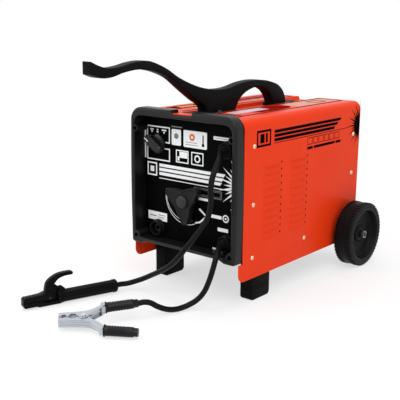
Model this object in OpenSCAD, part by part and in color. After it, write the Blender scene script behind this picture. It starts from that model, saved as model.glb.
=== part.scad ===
// Stick welder: a wheeled transformer welding set with its two cables.
// Units are millimetres. +X is the right side, -Y the front, +Z up, and z = 0 is the ground.
// Inside machine() y is counted backwards from the front face of the bezel.

/* [Body] */
// Width over the side sheets of the cover
body_w = 265; // [255:1:320]
// Height of the cover's top above the ground
body_top = 353; // [345:1:430]
// Length from the bezel's front face to the back of the rear panel
body_l = 443; // [435:1:520]
// Height of the side sheets' lower edge above the ground
skirt_z = 51; // [46:1:60]
// Thickness of the cover's steel sheet
cover_t = 1.5; // [1:0.1:2]
// Thickness of the front, rear and tray sheets
inner_t = 1.5; // [1:0.1:2]
// Outer radius of the bend from the top into the sides
bend_r = 18; // [12:1:24]
// Width of the channel along the middle of the top
channel_w = 54; // [50:1:64]
// Depth of the channel along the top
channel_d = 7; // [5:0.5:9]
// Height of the tray's floor above the ground
tray_z = 88; // [84:1:92]

/* [Bezel] */
// Width of the moulded bezel
bezel_w = 260; // [250:1:300]
// Depth of the bezel in front of the cover
bezel_d = 24; // [20:1:28]
// Depth of the recessed panel behind the bezel's front face
recess_d = 31; // [29:1:36]
// Width of the bezel's side rims
rim_side = 9; // [8:0.5:12]
// Height of the bezel's top rim
rim_top = 16; // [12:1:20]
// Height of the bezel's bottom rim
rim_low = 7; // [6:1:10]
// Outer radius of the bezel's top corners
bezel_r = 26; // [18:1:32]
// How far the bezel stands above the cover's top
bezel_rise = 7; // [4:1:10]

/* [Handle] */
// How far the tow handle reaches in front of the bezel
handle_reach = 226; // [200:1:240]
// Width of the handle
handle_w = 24; // [20:1:30]
// Thickness of the handle's two foot plates
handle_foot_t = 6; // [5:0.5:8]
// Diameter of the handle's bolts
handle_bolt_d = 6; // [5:0.5:7]

/* [Wheels and feet] */
// Wheel radius
wheel_r = 70; // [62:1:76]
// Wheel width
wheel_w = 40; // [32:1:48]
// Distance of the axle behind the bezel's front face
axle_y = 404; // [396:1:410]
// Axle diameter
axle_d = 14; // [12:0.5:16]
// Side gap between the cover and the wheel rim
wheel_gap = 9.5; // [8:0.5:14]
// Width of each front foot
foot_w = 28; // [22:1:32]
// Length of each front foot
foot_l = 60; // [50:1:70]
// Distance of the feet behind the bezel's front face
foot_y = 64; // [58:1:80]
// Distance of each foot's middle from the centre plane
foot_x = 111; // [100:1:112]

/* [Louvres] */
// Louvres in each column
louvre_count = 11; // [6:1:12]
// Distance between louvres
louvre_pitch = 13.8; // [12:0.2:15]
// Length of each louvre
louvre_l = 58; // [40:1:66]
// How far each louvre stands out of the side
louvre_out = 2.6; // [1.5:0.1:4]
// Height of the lowest louvre's lower edge
louvre_z = 122; // [116:1:130]

/* [Current control] */
// Sideways place of the spindle
spindle_x = -8; // [-12:1:0]
// Height of the spindle
spindle_z = 184; // [180:1:190]
// Diameter of the spindle
spindle_d = 12; // [10:0.5:14]
// Reach of the knob's three lobes
knob_r = 46; // [36:1:50]
// Thickness of the knob
knob_t = 14; // [10:1:16]
// Half of the shunt's travel each way
shunt_travel = 30; // [20:1:30]

/* [Selector and sockets] */
// Sideways place of the voltage selector
selector_x = -84; // [-92:1:-78]
// Height of the voltage selector
selector_z = 288; // [270:1:296]
// Length of the selector's bar
selector_bar = 44; // [34:1:50]
// Sideways place of the two right-hand sockets
socket_x = 90; // [80:1:94]
// Height of the electrode socket
socket_high = 294; // [270:1:300]
// Height of the ground and spare sockets
socket_low = 117; // [114:1:124]
// Outer radius of a socket's collar
collar_r = 17; // [15:0.5:19]
// Inner radius of a socket's collar
collar_bore = 11.8; // [11:0.1:12.5]
// Radius of the bore in a socket's brass contact
contact_bore = 4.6; // [4:0.1:5]

/* [Transformer] */
// Width and height of the laminated core
core_w = 170; // [160:1:176]
// Depth of the stack of laminations
core_stack = 70; // [60:1:80]
// Width of the core's legs
core_leg = 34; // [28:1:38]
// Build-up of each winding
coil_t = 14; // [10:1:16]
// Distance of the core's middle behind the bezel's front face
core_y = 240; // [234:1:250]

/* [Fan] */
// Sideways place of the fan
fan_x = 0; // [-10:1:10]
// Height of the fan
fan_z = 225; // [205:1:240]
// Radius of the fan's blades
fan_r = 66; // [50:1:72]

/* [Electrode holder] */
// Length of the electrode holder
holder_l = 193; // [180:1:220]
// Radius of the holder's grip
holder_r = 13; // [12:0.5:14]
// Direction in which the holder points on the ground
holder_yaw = -108.4; // [-130:0.1:-90]

/* [Ground clamp] */
// Length of the clamp's jaws in front of the pivot
jaw_l = 43; // [38:1:50]
// Height of each jaw
jaw_h = 11; // [10:0.5:13]
// Thickness across the clamp's side plates
clamp_w = 18; // [16:0.5:22]
// Direction in which the clamp points on the ground
clamp_yaw = -135.5; // [-150:0.5:-120]

/* [Cables and fits] */
// Diameter of both welding cables
cable_d = 10.5; // [9:0.5:10.5]
// Gap between separate pieces that only lie near each other
gap = 0.3; // [0.2:0.05:0.4]
// Radial clearance of a running shaft
run_gap = 0.05; // [0.03:0.01:0.08]
// Radial clearance of a screw in its hole
hole_gap = 0.25; // [0.15:0.05:0.4]
// Diameter of the case screws
screw_d = 4; // [3:0.5:5]
// Bore of the mains cable gland
gland_bore = 10.6; // [9:0.1:12]

/* [Hidden] */
$fn = 64;

front_y = (handle_reach - axle_y - wheel_r) / 2;
side_x = body_w / 2;
inner_in = cover_t + gap;
inner_x = side_x - inner_in;
seat_z = body_top - channel_d;
channel_slope = 3;
bezel_top = body_top + bezel_rise;
bezel_low = tray_z + 3;
corner_drop = 5;
open_r = 16;
sleeve_t = 3;
flange_d = 31;
flange_z1 = body_top - bend_r - 12;
panel_back = recess_d + inner_t;
rear_face = body_l - inner_t;
tray_y0 = bezel_d + gap;
rod_r = spindle_d / 2;
knob_front = recess_d - 4 - knob_t;
cap_t = 4;
lobe_turn = 38;
lobe_r = 9;
foot_r = 8;
bolt_r = handle_bolt_d / 2;
axle_r = axle_d / 2;
wheel_x0 = side_x + wheel_gap;
hub_in = 4;
hub_out = 34;
hub_r = 16;
clip_t = 1.7;
bracket_w = 24;
axle_end = wheel_x0 + hub_out + 4;
tab_y = 12;
screw_r = screw_d / 2;
bezel_boss_x = bezel_w / 2 - 11;
bezel_boss_low = bezel_low + 10;
bezel_boss_high = bezel_top - 42;
bezel_screw_z = [bezel_boss_low, bezel_boss_high];
front_row_z = [tray_z + 4, 194, 303];
front_row_y = recess_d + 22;
mid_screw_y = 232;
rear_row_z = [tray_z + 4, 200, 285];
rear_row_y = body_l - 28;
louvre_h = 9;
louvre_end = 5;
louvre_slot = louvre_l - 2 * louvre_end - 2.4;
louvre_mid_y = [112, 203];
cable_r = cable_d / 2;
plug_front = bezel_d;
handle_bolt_x = 17;
handle_bolt_y = [95, 348];
core_half = core_w / 2;
window_half = core_half - core_leg;
leg_x = core_half - core_leg / 2;
former_t = 2;
coil_in = gap + former_t + gap;
shunt_half = 19;
guide_t = 2.2;
shunt_y = core_y - core_stack / 2 - shunt_travel;
socket_neck = 14;
contact_r = 8;
contact_tail = 5;
fan_motor_r = 28;
cable_room = 0.7;
grip_l = 118;
tang_r = 6;
web_t = 8;
hinge_x = 154;
pivot_x = 142;
pivot_z = 3;
holder_pin_r = 2.5;
lever_back = [[150, 12], [149, 21], [146, 31], [138, 39], [124, 45.5], [108, 47.5], [96, 47], [93, 45]];
lever_belly = [[93, 42.5], [96, 40.5], [110, 40], [122, 36.5], [130, 29], [134, 20], [136, 12]];
clamp_roll = -9;
clamp_pitch = 1;
plate_t = 1.6;
clamp_pin_r = 3;
grip_turn = 11;
grip_x = -36;
grip_y = 38;
grip_len = 52;

// Route of the electrode cable from its plug to the electrode holder, as seen inside machine()
electrode_route = [
    [90, 24, 294], [90, 18, 294], [90, 12, 294], [95, 2, 292], [102, -9, 286], [106, -24, 273],
    [106, -35, 254], [106, -39, 231], [104, -36, 208], [97, -33, 186], [85, -32, 165], [70, -33, 145],
    [55, -34, 126], [39, -35, 107], [23, -34, 89], [6, -32, 73], [-14, -30, 59], [-34, -27, 47],
    [-54, -25, 36], [-74, -27, 25], [-91, -34, 17], [-102, -44, 13], [-108, -55, 13], [-111, -64, 13],
    [-114, -73, 13]
];
// Route of the ground cable from its plug to the ground clamp, as seen inside machine()
ground_route = [
    [90, 24, 117], [90, 18, 117], [90, 12, 117], [94, 1, 114], [98, -10, 105], [99, -18, 90],
    [96, -22, 72], [90, -24, 53], [82, -27, 34], [72, -34, 19], [62, -45, 10], [55, -59, 6],
    [50, -74, 6], [44, -90, 10], [36, -105, 18], [28, -114, 25], [21, -122, 27], [14, -132, 26],
    [11, -136, 26]
];

cable_in = len(electrode_route) - 2;
holder_at = [electrode_route[cable_in][0], electrode_route[cable_in][1], holder_r];
clamp_at = [-19, -233, 17];

// ---- curves and shared shapes ----

function spline_point(a, b, c, d, t) =
    0.5 * (2 * b + (c - a) * t + (2 * a - 5 * b + 4 * c - d) * t * t + (3 * b - a - 3 * c + d) * t * t * t);

function spline(p, steps) = concat(
    [for (i = [0 : len(p) - 2], s = [0 : steps - 1])
        spline_point(p[max(i - 1, 0)], p[i], p[i + 1], p[min(i + 2, len(p) - 1)], s / steps)],
    [p[len(p) - 1]]
);

function unit(v) = v / norm(v);

module tube(route, r, sides = 10) {
    path = spline(route, 2);
    last = len(path) - 1;
    points = [for (i = [0 : last])
        let (along = unit(path[min(i + 1, last)] - path[max(i - 1, 0)]))
        let (side = unit(cross(along, [1, 0.5, 0])))
        let (over = cross(along, side))
        for (k = [0 : sides - 1]) path[i] + r * (cos(360 * k / sides) * side + sin(360 * k / sides) * over)];
    walls = [for (i = [0 : last - 1], k = [0 : sides - 1], half = [0, 1])
        let (a = i * sides + k)
        let (b = i * sides + (k + 1) % sides)
        half == 0 ? [a, b, b + sides] : [a, b + sides, a + sides]];
    start = [[for (k = [0 : sides - 1]) sides - 1 - k]];
    end = [[for (k = [0 : sides - 1]) last * sides + k]];
    polyhedron(points, concat(walls, start, end));
}

module machine() {
    translate([0, front_y, 0]) children();
}

// Extrudes an outline drawn in X and Z from y0 to y1
module along_y(y0, y1) {
    translate([0, y1, 0]) rotate([90, 0, 0]) linear_extrude(y1 - y0) children();
}

// Extrudes an outline drawn in Y and Z from x0 to x1
module along_x(x0, x1) {
    translate([x0, 0, 0]) rotate([90, 0, 90]) linear_extrude(x1 - x0) children();
}

module rod_y(x, z, y0, y1, r) {
    translate([x, y0, z]) rotate([-90, 0, 0]) cylinder(h = y1 - y0, r = r);
}

module rod_x(y, z, x0, x1, r) {
    translate([x0, y, z]) rotate([0, 90, 0]) cylinder(h = x1 - x0, r = r);
}

module rod_z(x, y, z0, z1, r) {
    translate([x, y, z0]) cylinder(h = z1 - z0, r = r);
}

module block(x0, x1, y0, y1, z0, z1) {
    translate([x0, y0, z0]) cube([x1 - x0, y1 - y0, z1 - z0]);
}

module both_sides() {
    for (s = [-1, 1]) scale([s, 1, 1]) children();
}

module round_rect(x0, x1, z0, z1, r) {
    translate([x0 + r, z0]) square([x1 - x0 - 2 * r, z1 - z0]);
    translate([x0, z0 + r]) square([x1 - x0, z1 - z0 - 2 * r]);
    for (x = [x0 + r, x1 - r], z = [z0 + r, z1 - r]) translate([x, z]) circle(r);
}

// Outline of the case, drawn a distance inside its outer face and open below low_z
module case_outline(inside, low_z) {
    half = side_x - inside;
    top = body_top - inside;
    r = bend_r - inside;
    mouth = channel_w / 2 + inside;
    difference() {
        union() {
            translate([-half, low_z]) square([2 * half, top - r - low_z]);
            translate([-half + r, low_z]) square([2 * (half - r), top - low_z]);
            for (s = [-1, 1]) translate([s * (half - r), top - r]) circle(r);
        }
        polygon([
            [-mouth, top + 1], [-mouth, top], [-mouth + channel_slope, top - channel_d],
            [mouth - channel_slope, top - channel_d], [mouth, top], [mouth, top + 1]
        ]);
    }
}

// Rounds a lower corner of the side sheets; toward is 1 for the rear corner and -1 for the front
module skirt_corner(y, r, toward) {
    along_x(-side_x - 1, side_x + 1) difference() {
        translate([y - (toward > 0 ? r : 1), skirt_z - 1]) square([r + 1, r + 1]);
        translate([y - toward * r, skirt_z + r]) circle(r);
    }
}

// ---- case ----

module louvre_hood() {
    difference() {
        along_y(-louvre_l / 2, louvre_l / 2) polygon([
            [-0.6, 0], [louvre_out, 0], [louvre_out, 1.6], [0, louvre_h], [-0.6, louvre_h]
        ]);
        along_y(-louvre_slot / 2, louvre_slot / 2) polygon([
            [-1, -1], [louvre_out - 1, -1], [louvre_out - 1, 1.2], [0, louvre_h - 2.4], [-1, louvre_h - 2.4]
        ]);
        for (s = [0, 1]) mirror([0, s, 0]) translate([0, louvre_l / 2, 0])
            rotate([0, 0, -atan(louvre_end / louvre_out)]) block(-0.2, 20, 0, 20, -1, louvre_h + 1);
    }
}

module louvre_places() {
    both_sides() for (y = louvre_mid_y, i = [0 : louvre_count - 1])
        translate([side_x, y, louvre_z + i * louvre_pitch]) children();
}

module cover_screw_holes(r) {
    for (z = front_row_z) rod_x(front_row_y, z, -side_x - 1, side_x + 1, r);
    for (z = rear_row_z) rod_x(rear_row_y, z, -side_x - 1, side_x + 1, r);
    rod_x(mid_screw_y, tray_z + 4, -side_x - 1, side_x + 1, r);
}

module cover() {
    color("orangered") machine() {
        difference() {
            along_y(tab_y, body_l) difference() {
                case_outline(0, skirt_z);
                case_outline(cover_t, skirt_z - 1);
            }
            block(-side_x - 1, side_x + 1, tab_y - 1, bezel_d, bezel_low - corner_drop - gap, body_top + 1);
            skirt_corner(tab_y, 16, -1);
            skirt_corner(body_l, 12, 1);
            cover_screw_holes(screw_r + hole_gap);
            louvre_places() block(-cover_t - 1, 1, -louvre_slot / 2, louvre_slot / 2, 0, louvre_h - 2.4);
            both_sides() for (y = handle_bolt_y) {
                rod_z(handle_bolt_x, y, seat_z - cover_t - 1, seat_z + 1, bolt_r + hole_gap);
            }
            both_sides() along_x(side_x - cover_t - 1, side_x + 1) union() {
                translate([axle_y, wheel_r]) circle(axle_r + 6);
                translate([axle_y - axle_r - 6, skirt_z - 1]) square([2 * axle_r + 12, wheel_r - skirt_z + 1]);
            }
        }
        louvre_places() louvre_hood();
    }
}

module base_tray() {
    color("dimgray") machine() difference() {
        union() {
            block(-inner_x, inner_x, tray_y0, rear_face, tray_z - inner_t, tray_z);
            both_sides() block(inner_x - inner_t, inner_x, panel_back + flange_d + 2, rear_face - 38,
                tray_z - 0.5, tray_z + 20);
        }
        for (y = [foot_y + 16, foot_y + 44]) {
            both_sides() rod_z(foot_x, y, tray_z - inner_t - 1, tray_z + 1, 3 + hole_gap);
        }
        rod_x(mid_screw_y, tray_z + 4, -side_x, side_x, screw_r + hole_gap);
        for (i = [0 : 7], x = [-58, 24]) block(x, x + 36, 136 + i * 36, 142 + i * 36, tray_z - 3, tray_z + 1);
    }
}

module side_flanges(y0, y1, z0, z1) {
    both_sides() block(inner_x - inner_t, inner_x, y0, y1, z0, z1);
}

module rear_panel() {
    color("orangered") machine() difference() {
        union() {
            along_y(rear_face, body_l) case_outline(inner_in, tray_z);
            side_flanges(rear_face - 36, rear_face + 0.5, tray_z, flange_z1);
        }
        for (i = [-4 : 4]) {
            half = sqrt(pow(fan_r, 2) - pow(12 * i, 2));
            both_sides() along_y(rear_face - 1, body_l + 1) round_rect(5, max(half, 12), fan_z + 12 * i - 3,
                fan_z + 12 * i + 3, 2.9);
        }
        rod_y(80, 125, rear_face - 1, body_l + 1, 10 + hole_gap);
        cover_screw_holes(screw_r + hole_gap);
    }
}

module panel_places(holes) {
    rod_y(spindle_x, spindle_z, holes[0], holes[1], 10 + gap);
    rod_y(selector_x, selector_z, holes[0], holes[1], 5);
    for (p = socket_places()) rod_y(p[0], p[1], holes[0], holes[1], socket_neck + gap);
}

function socket_places() = [[socket_x, socket_high], [socket_x, socket_low], [selector_x, socket_low]];

module front_panel() {
    color("black") machine() difference() {
        union() {
            along_y(recess_d, panel_back) case_outline(inner_in, tray_z);
            side_flanges(panel_back - 0.5, panel_back + flange_d, tray_z, flange_z1);
        }
        panel_places([recess_d - 1, panel_back + 1]);
        cover_screw_holes(screw_r + hole_gap);
        bezel_screw_holes(recess_d - 1, panel_back + 1);
    }
}

module bezel_screw_holes(y0, y1) {
    both_sides() for (z = bezel_screw_z) rod_y(bezel_boss_x, z, y0, y1, screw_r + hole_gap);
}

module bezel_outline() {
    half = bezel_w / 2;
    difference() {
        union() {
            translate([-half + 10, bezel_low]) square([bezel_w - 20, bezel_top - bezel_r - bezel_low]);
            translate([-half, bezel_low - corner_drop + 10]) {
                square([bezel_w, bezel_top - bezel_r - bezel_low + corner_drop - 10]);
            }
            translate([-half + bezel_r, bezel_top - bezel_r - 1]) square([bezel_w - 2 * bezel_r, bezel_r + 1]);
            for (s = [-1, 1]) {
                translate([s * (half - bezel_r), bezel_top - bezel_r]) circle(bezel_r);
                translate([s * (half - 10), bezel_low - corner_drop + 10]) circle(10);
            }
            for (s = [-1, 1]) polygon([
                [s * (half - 38), bezel_low + 1], [s * (half - 38), bezel_low],
                [s * (half - 26), bezel_low - corner_drop], [s * (half - 10), bezel_low - corner_drop],
                [s * (half - 10), bezel_low + 1]
            ]);
        }
        polygon([
            [-channel_w / 2, bezel_top + 1], [-channel_w / 2, bezel_top],
            [-channel_w / 2 + channel_slope, bezel_top - channel_d],
            [channel_w / 2 - channel_slope, bezel_top - channel_d],
            [channel_w / 2, bezel_top], [channel_w / 2, bezel_top + 1]
        ]);
    }
}

// The bezel's opening, drawn wider by grow, less the four screw bosses
module bezel_opening(grow) {
    half = bezel_w / 2 - rim_side + grow;
    difference() {
        round_rect(-half, half, bezel_low + rim_low - grow, bezel_top - rim_top + grow, open_r);
        for (s = [-1, 1]) {
            translate([s * bezel_boss_x, bezel_boss_low]) circle(10 - grow);
            translate([s * bezel_boss_x, bezel_boss_high]) circle(7 - grow);
        }
    }
}

module front_bezel() {
    color("dimgray") machine() difference() {
        union() {
            along_y(0, bezel_d) difference() {
                bezel_outline();
                bezel_opening(0);
            }
            along_y(bezel_d - 0.5, recess_d) intersection() {
                difference() {
                    bezel_opening(sleeve_t);
                    bezel_opening(0);
                }
                case_outline(inner_in + 0.5, bezel_low);
            }
            for (z = bezel_screw_z) both_sides() rod_y(bezel_boss_x, z, bezel_d - 0.5, recess_d, 7);
        }
        bezel_screw_holes(-1, recess_d + 1);
        both_sides() for (z = bezel_screw_z) rod_y(bezel_boss_x, z, -1, 12, screw_d + gap);
    }
}

module bezel_screws() {
    color("silver") machine() both_sides() for (z = bezel_screw_z) {
        rod_y(bezel_boss_x, z, 9.5, 12, screw_d);
        rod_y(bezel_boss_x, z, 11.5, panel_back + 6, screw_r);
    }
}

module side_screw(y, z) {
    rod_x(y, z, side_x - inner_in - inner_t - 6, side_x + 0.5, screw_r);
    translate([side_x, y, z]) rotate([0, 90, 0]) cylinder(h = 2.4, r1 = 4.4, r2 = 3);
}

module cover_screws() {
    color("silver") machine() both_sides() {
        for (z = front_row_z) side_screw(front_row_y, z);
        for (z = rear_row_z) side_screw(rear_row_y, z);
        side_screw(mid_screw_y, tray_z + 4);
    }
}

// ---- handle ----

// Heights are counted from the floor of the channel on which the handle stands
handle_top = [
    [-handle_reach, 115], [-213, 109.5], [-197, 104.5], [-180, 103], [-157, 105], [-132, 109.5],
    [-105, 111.5], [-82, 108.5], [-47, 95.5], [-11, 76.5], [37, 59], [75, 51], [105, 48.5], [138, 50],
    [175, 56.5], [212, 59.5], [250, 57.5], [280, 52], [304, 44], [322, 30], [331, 12], [334, 0]
];
handle_arch = [[286, 0], [279, 18], [260, 36], [229, 45], [194, 39], [171, 27], [158, 12], [153, 0]];
handle_under = [
    [64, 0], [60, 18], [33, 34], [-1, 55.7], [-33, 76.7], [-64, 88.5], [-91, 94.5], [-120, 97],
    [-153, 93.5], [-177, 88], [-197, 86.7], [-212, 89], [-handle_reach, 94]
];

module handle() {
    color("black") machine() translate([0, 0, seat_z]) difference() {
        union() {
            along_x(-handle_w / 2, handle_w / 2) {
                polygon(concat(spline(handle_top, 4), spline(handle_arch, 4), spline(handle_under, 4)));
            }
            for (y = [[30, 150], [290, 372]]) along_y(y[0], y[1]) {
                translate([-channel_w / 2 + channel_slope + 2, 0]) {
                    square([channel_w - 2 * channel_slope - 4, handle_foot_t]);
                }
            }
        }
        both_sides() for (y = handle_bolt_y) rod_z(handle_bolt_x, y, -1, handle_foot_t + 1, bolt_r + hole_gap);
    }
}

module handle_bolts() {
    color("silver") machine() both_sides() for (y = handle_bolt_y) {
        rod_z(handle_bolt_x, y, seat_z - cover_t - 9, seat_z + handle_foot_t + 0.5, bolt_r);
        rod_z(handle_bolt_x, y, seat_z + handle_foot_t, seat_z + handle_foot_t + 3, 4.5);
        translate([handle_bolt_x, y, seat_z - cover_t - 5]) cylinder(h = 5, r = 5.5, $fn = 6);
    }
}

// ---- feet, axle and wheels ----

module foot() {
    along_x(foot_x - foot_w / 2, foot_x + foot_w / 2) {
        round_rect(foot_y, foot_y + foot_l, 0, tray_z - inner_t, foot_r);
        translate([foot_y, tray_z - inner_t - foot_r - 1]) square([foot_l, foot_r + 1]);
    }
}

module drilled_foot() {
    difference() {
        foot();
        for (y = [foot_y + 16, foot_y + 44]) rod_z(foot_x, y, tray_z - 32, tray_z, 3 + hole_gap);
    }
}

module foot_left() {
    color("black") machine() mirror([1, 0, 0]) drilled_foot();
}

module foot_right() {
    color("black") machine() drilled_foot();
}

module foot_bolts() {
    color("silver") machine() both_sides() for (y = [foot_y + 16, foot_y + 44]) {
        rod_z(foot_x, y, tray_z - 28, tray_z + 0.5, 3);
        translate([foot_x, y, tray_z]) cylinder(h = 4, r = 5.5, $fn = 6);
    }
}

module axle() {
    color("silver") machine() rod_x(axle_y, wheel_r, -axle_end, axle_end, axle_r);
}

module axle_brackets() {
    color("dimgray") machine() both_sides() difference() {
        union() {
            block(side_x - 12 - bracket_w, side_x - 12, axle_y - 18, axle_y + 18, tray_z - inner_t - 8,
                tray_z - inner_t);
            along_x(side_x - 12 - bracket_w, side_x - 12) {
                translate([axle_y, wheel_r]) circle(axle_r + 6);
            }
        }
        rod_x(axle_y, wheel_r, 0, side_x, axle_r + run_gap);
    }
}

module axle_spacers() {
    color("silver") machine() both_sides() difference() {
        rod_x(axle_y, wheel_r, side_x - 12, wheel_x0 - hub_in - gap, axle_r + 3);
        rod_x(axle_y, wheel_r, side_x - 13, wheel_x0, axle_r + run_gap);
    }
}

module axle_clips() {
    color("silver") machine() both_sides() difference() {
        rod_x(axle_y, wheel_r, wheel_x0 + hub_out + gap, wheel_x0 + hub_out + gap + clip_t, axle_r + 4);
        rod_x(axle_y, wheel_r, wheel_x0, axle_end, axle_r + run_gap);
    }
}

module wheel() {
    rim = wheel_r - 17;
    translate([wheel_x0, axle_y, wheel_r]) rotate([0, 90, 0]) rotate_extrude() polygon([
        [axle_r + run_gap, -hub_in], [hub_r, -hub_in], [hub_r, 14], [rim - 1, 14], [rim + 1, 0],
        [wheel_r - 4, 0], [wheel_r, 4], [wheel_r, wheel_w - 4], [wheel_r - 4, wheel_w],
        [rim + 1, wheel_w], [rim - 1, 22], [hub_r, 22], [hub_r, hub_out], [axle_r + run_gap, hub_out]
    ]);
}

module wheel_left() {
    color("black") machine() mirror([1, 0, 0]) wheel();
}

module wheel_right() {
    color("black") machine() wheel();
}

// ---- current control ----

module at_spindle() {
    translate([spindle_x, 0, spindle_z]) children();
}

module knob_outline() {
    reach = knob_r - lobe_r;
    difference() {
        hull() for (i = [0 : 2]) rotate(lobe_turn + 120 * i) translate([reach, 0]) circle(lobe_r);
        for (i = [0 : 2]) rotate(lobe_turn + 60 + 120 * i) translate([knob_r + 18, 0]) circle(knob_r - 4);
    }
}

module current_knob() {
    color("black") machine() at_spindle() difference() {
        union() {
            along_y(knob_front, knob_front + knob_t) knob_outline();
            rod_y(0, 0, knob_front + knob_t - 0.5, recess_d - gap, rod_r + 9);
        }
        rod_y(0, 0, knob_front + 3, recess_d, rod_r + run_gap);
    }
}

module knob_cap() {
    color("dimgray") machine() at_spindle() rotate([90, 0, 0]) translate([0, 0, -knob_front]) rotate_extrude() {
        intersection() {
            translate([0, -30 + cap_t]) circle(30);
            square([13, cap_t]);
        }
    }
}

module spindle() {
    color("silver") machine() at_spindle() rod_y(0, 0, knob_front + 3 + gap, core_y + 90, rod_r);
}

module spindle_collar() {
    color("silver") machine() at_spindle() difference() {
        rod_y(0, 0, panel_back + 13.5 + gap, panel_back + 21, rod_r + 5);
        rod_y(0, 0, panel_back, panel_back + 30, rod_r + run_gap);
    }
}

module spindle_bush() {
    color("goldenrod") machine() at_spindle() difference() {
        union() {
            rod_y(0, 0, recess_d, panel_back + 13.5, 10);
            rod_y(0, 0, panel_back, panel_back + 3, 15);
        }
        rod_y(0, 0, recess_d - 1, panel_back + 15, rod_r + run_gap);
    }
}

module spindle_bracket() {
    y = core_y + 78;
    color("dimgray") machine() difference() {
        union() {
            block(spindle_x - 25, spindle_x + 25, y, y + 4, tray_z, spindle_z + 20);
            block(spindle_x - 25, spindle_x + 25, y - 18, y + 1, tray_z, tray_z + 3);
        }
        rod_y(spindle_x, spindle_z, y - 1, y + 5, rod_r + run_gap);
    }
}

module shunt() {
    half = window_half - guide_t - gap;
    color("slategray") machine() at_spindle() difference() {
        block(-shunt_half, shunt_half, shunt_y, shunt_y + core_stack, -half, half);
        rod_y(0, 0, shunt_y - 1, shunt_y + core_stack + 1, rod_r + 1);
    }
}

module shunt_nut() {
    color("goldenrod") machine() at_spindle() difference() {
        rod_y(0, 0, shunt_y - 14, shunt_y, 15);
        rod_y(0, 0, shunt_y - 15, shunt_y + 1, rod_r + run_gap);
    }
}

module shunt_guides() {
    color("tan") machine() at_spindle() for (s = [-1, 1]) {
        z = s * (window_half - guide_t / 2);
        block(-shunt_half - 1, shunt_half + 1, shunt_y - shunt_travel - 4, core_y + core_stack / 2,
            z - guide_t / 2, z + guide_t / 2);
    }
}

// ---- transformer ----

module core_bolt_holes(y0, y1, r) {
    for (x = [-60, 60], s = [-1, 1]) {
        rod_y(spindle_x + x, spindle_z + s * (core_half - core_leg / 2), y0, y1, r);
    }
}

module core() {
    y0 = core_y - core_stack / 2;
    color("slategray") machine() difference() {
        at_spindle() block(-core_half, core_half, y0, y0 + core_stack, -core_half, core_half);
        at_spindle() block(-window_half, window_half, y0 - 1, y0 + core_stack + 1, -window_half, window_half);
        core_bolt_holes(y0 - 1, y0 + core_stack + 1, 4 + hole_gap);
    }
}

module core_clamps() {
    y0 = core_y - core_stack / 2;
    low = tray_z - spindle_z;
    color("dimgray") machine() difference() {
        at_spindle() for (s = [0, 1]) {
            y = s == 0 ? y0 - 4 : y0 + core_stack;
            block(-core_half, core_half, y, y + 4, low, -core_half + 28);
            block(-core_half, core_half, y, y + 4, core_half - 28, core_half);
            block(-core_half, core_half, s == 0 ? y - 20 : y + 3, s == 0 ? y + 1 : y + 24, low, low + 4);
        }
        core_bolt_holes(y0 - 5, y0 + core_stack + 5, 4 + hole_gap);
    }
}

module core_bolts() {
    y0 = core_y - core_stack / 2 - 4;
    y1 = core_y + core_stack / 2 + 4;
    color("silver") machine() for (x = [-60, 60], s = [-1, 1]) {
        translate([spindle_x + x, 0, spindle_z + s * (core_half - core_leg / 2)]) {
            rod_y(0, 0, y0 - 0.5, y1 + 9, 4);
            along_y(y0 - 5, y0) circle(7, $fn = 6);
            along_y(y1, y1 + 6) circle(7, $fn = 6);
        }
    }
}

// A ring round a leg of the core, between two distances from the leg's faces
module leg_ring(x, inside, outside, z0, z1) {
    half_x = core_leg / 2;
    half_y = core_stack / 2;
    translate([spindle_x + x, core_y, z0]) linear_extrude(z1 - z0) difference() {
        round_rect(-half_x - outside, half_x + outside, -half_y - outside, half_y + outside, outside / 2);
        round_rect(-half_x - inside, half_x + inside, -half_y - inside, half_y + inside, inside / 2);
    }
}

module coil(x) {
    leg_ring(x, coil_in, coil_in + coil_t, spindle_z - window_half + 5, spindle_z + window_half - 5);
}

module former(x) {
    z0 = spindle_z - window_half + gap;
    z1 = spindle_z + window_half - gap;
    leg_ring(x, gap, gap + former_t, z0, z1);
    for (z = [[z0, z0 + 3], [z1 - 3, z1]]) leg_ring(x, gap, coil_in + coil_t, z[0], z[1]);
}

module primary_coil() {
    color("peru") machine() coil(-leg_x);
}

module secondary_coil() {
    color("peru") machine() coil(leg_x);
}

module coil_formers() {
    color("tan") machine() {
        former(-leg_x);
        former(leg_x);
    }
}

module thermal_cutout() {
    y = core_y - core_stack / 2 - coil_in - coil_t;
    color("black") machine() rod_y(spindle_x - leg_x, spindle_z + 20, y - 7, y, 8);
}

// ---- fan ----

module fan_motor() {
    color("dimgray") machine() {
        rod_y(fan_x, fan_z, rear_face - 45, rear_face - 13, fan_motor_r);
        rod_y(fan_x, fan_z, rear_face - 74, rear_face - 44, 3);
    }
}

module fan_blade() {
    y = rear_face - 62;
    color("gray") machine() translate([fan_x, y, fan_z]) difference() {
        union() {
            rod_y(0, 0, -8, 9, 14);
            for (i = [0 : 4]) rotate([0, 72 * i, 0]) translate([10, 0, 0]) rotate([24, 0, 0]) {
                translate([0, -1, -15]) cube([fan_r - 10, 2, 30]);
            }
        }
        rod_y(0, 0, -20, 20, 3 + run_gap);
    }
}

module fan_bracket() {
    color("dimgray") machine() difference() {
        union() {
            block(fan_x - 82, fan_x + 82, rear_face - 13, rear_face - 11, fan_z - 12, fan_z + 12);
            for (s = [-1, 1]) block(fan_x + s * 79 - 3, fan_x + s * 79 + 3, rear_face - 12, rear_face,
                fan_z - 12, fan_z + 12);
        }
        rod_y(fan_x, fan_z, rear_face - 14, rear_face - 10, 6);
    }
}

// ---- selector, sockets and leads ----

module selector_switch() {
    color("ivory") machine() {
        block(selector_x - 23, selector_x + 23, panel_back, panel_back + 38, selector_z - 23, selector_z + 23);
        rod_y(selector_x, selector_z, 16, panel_back + 1, 4);
    }
}

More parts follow.
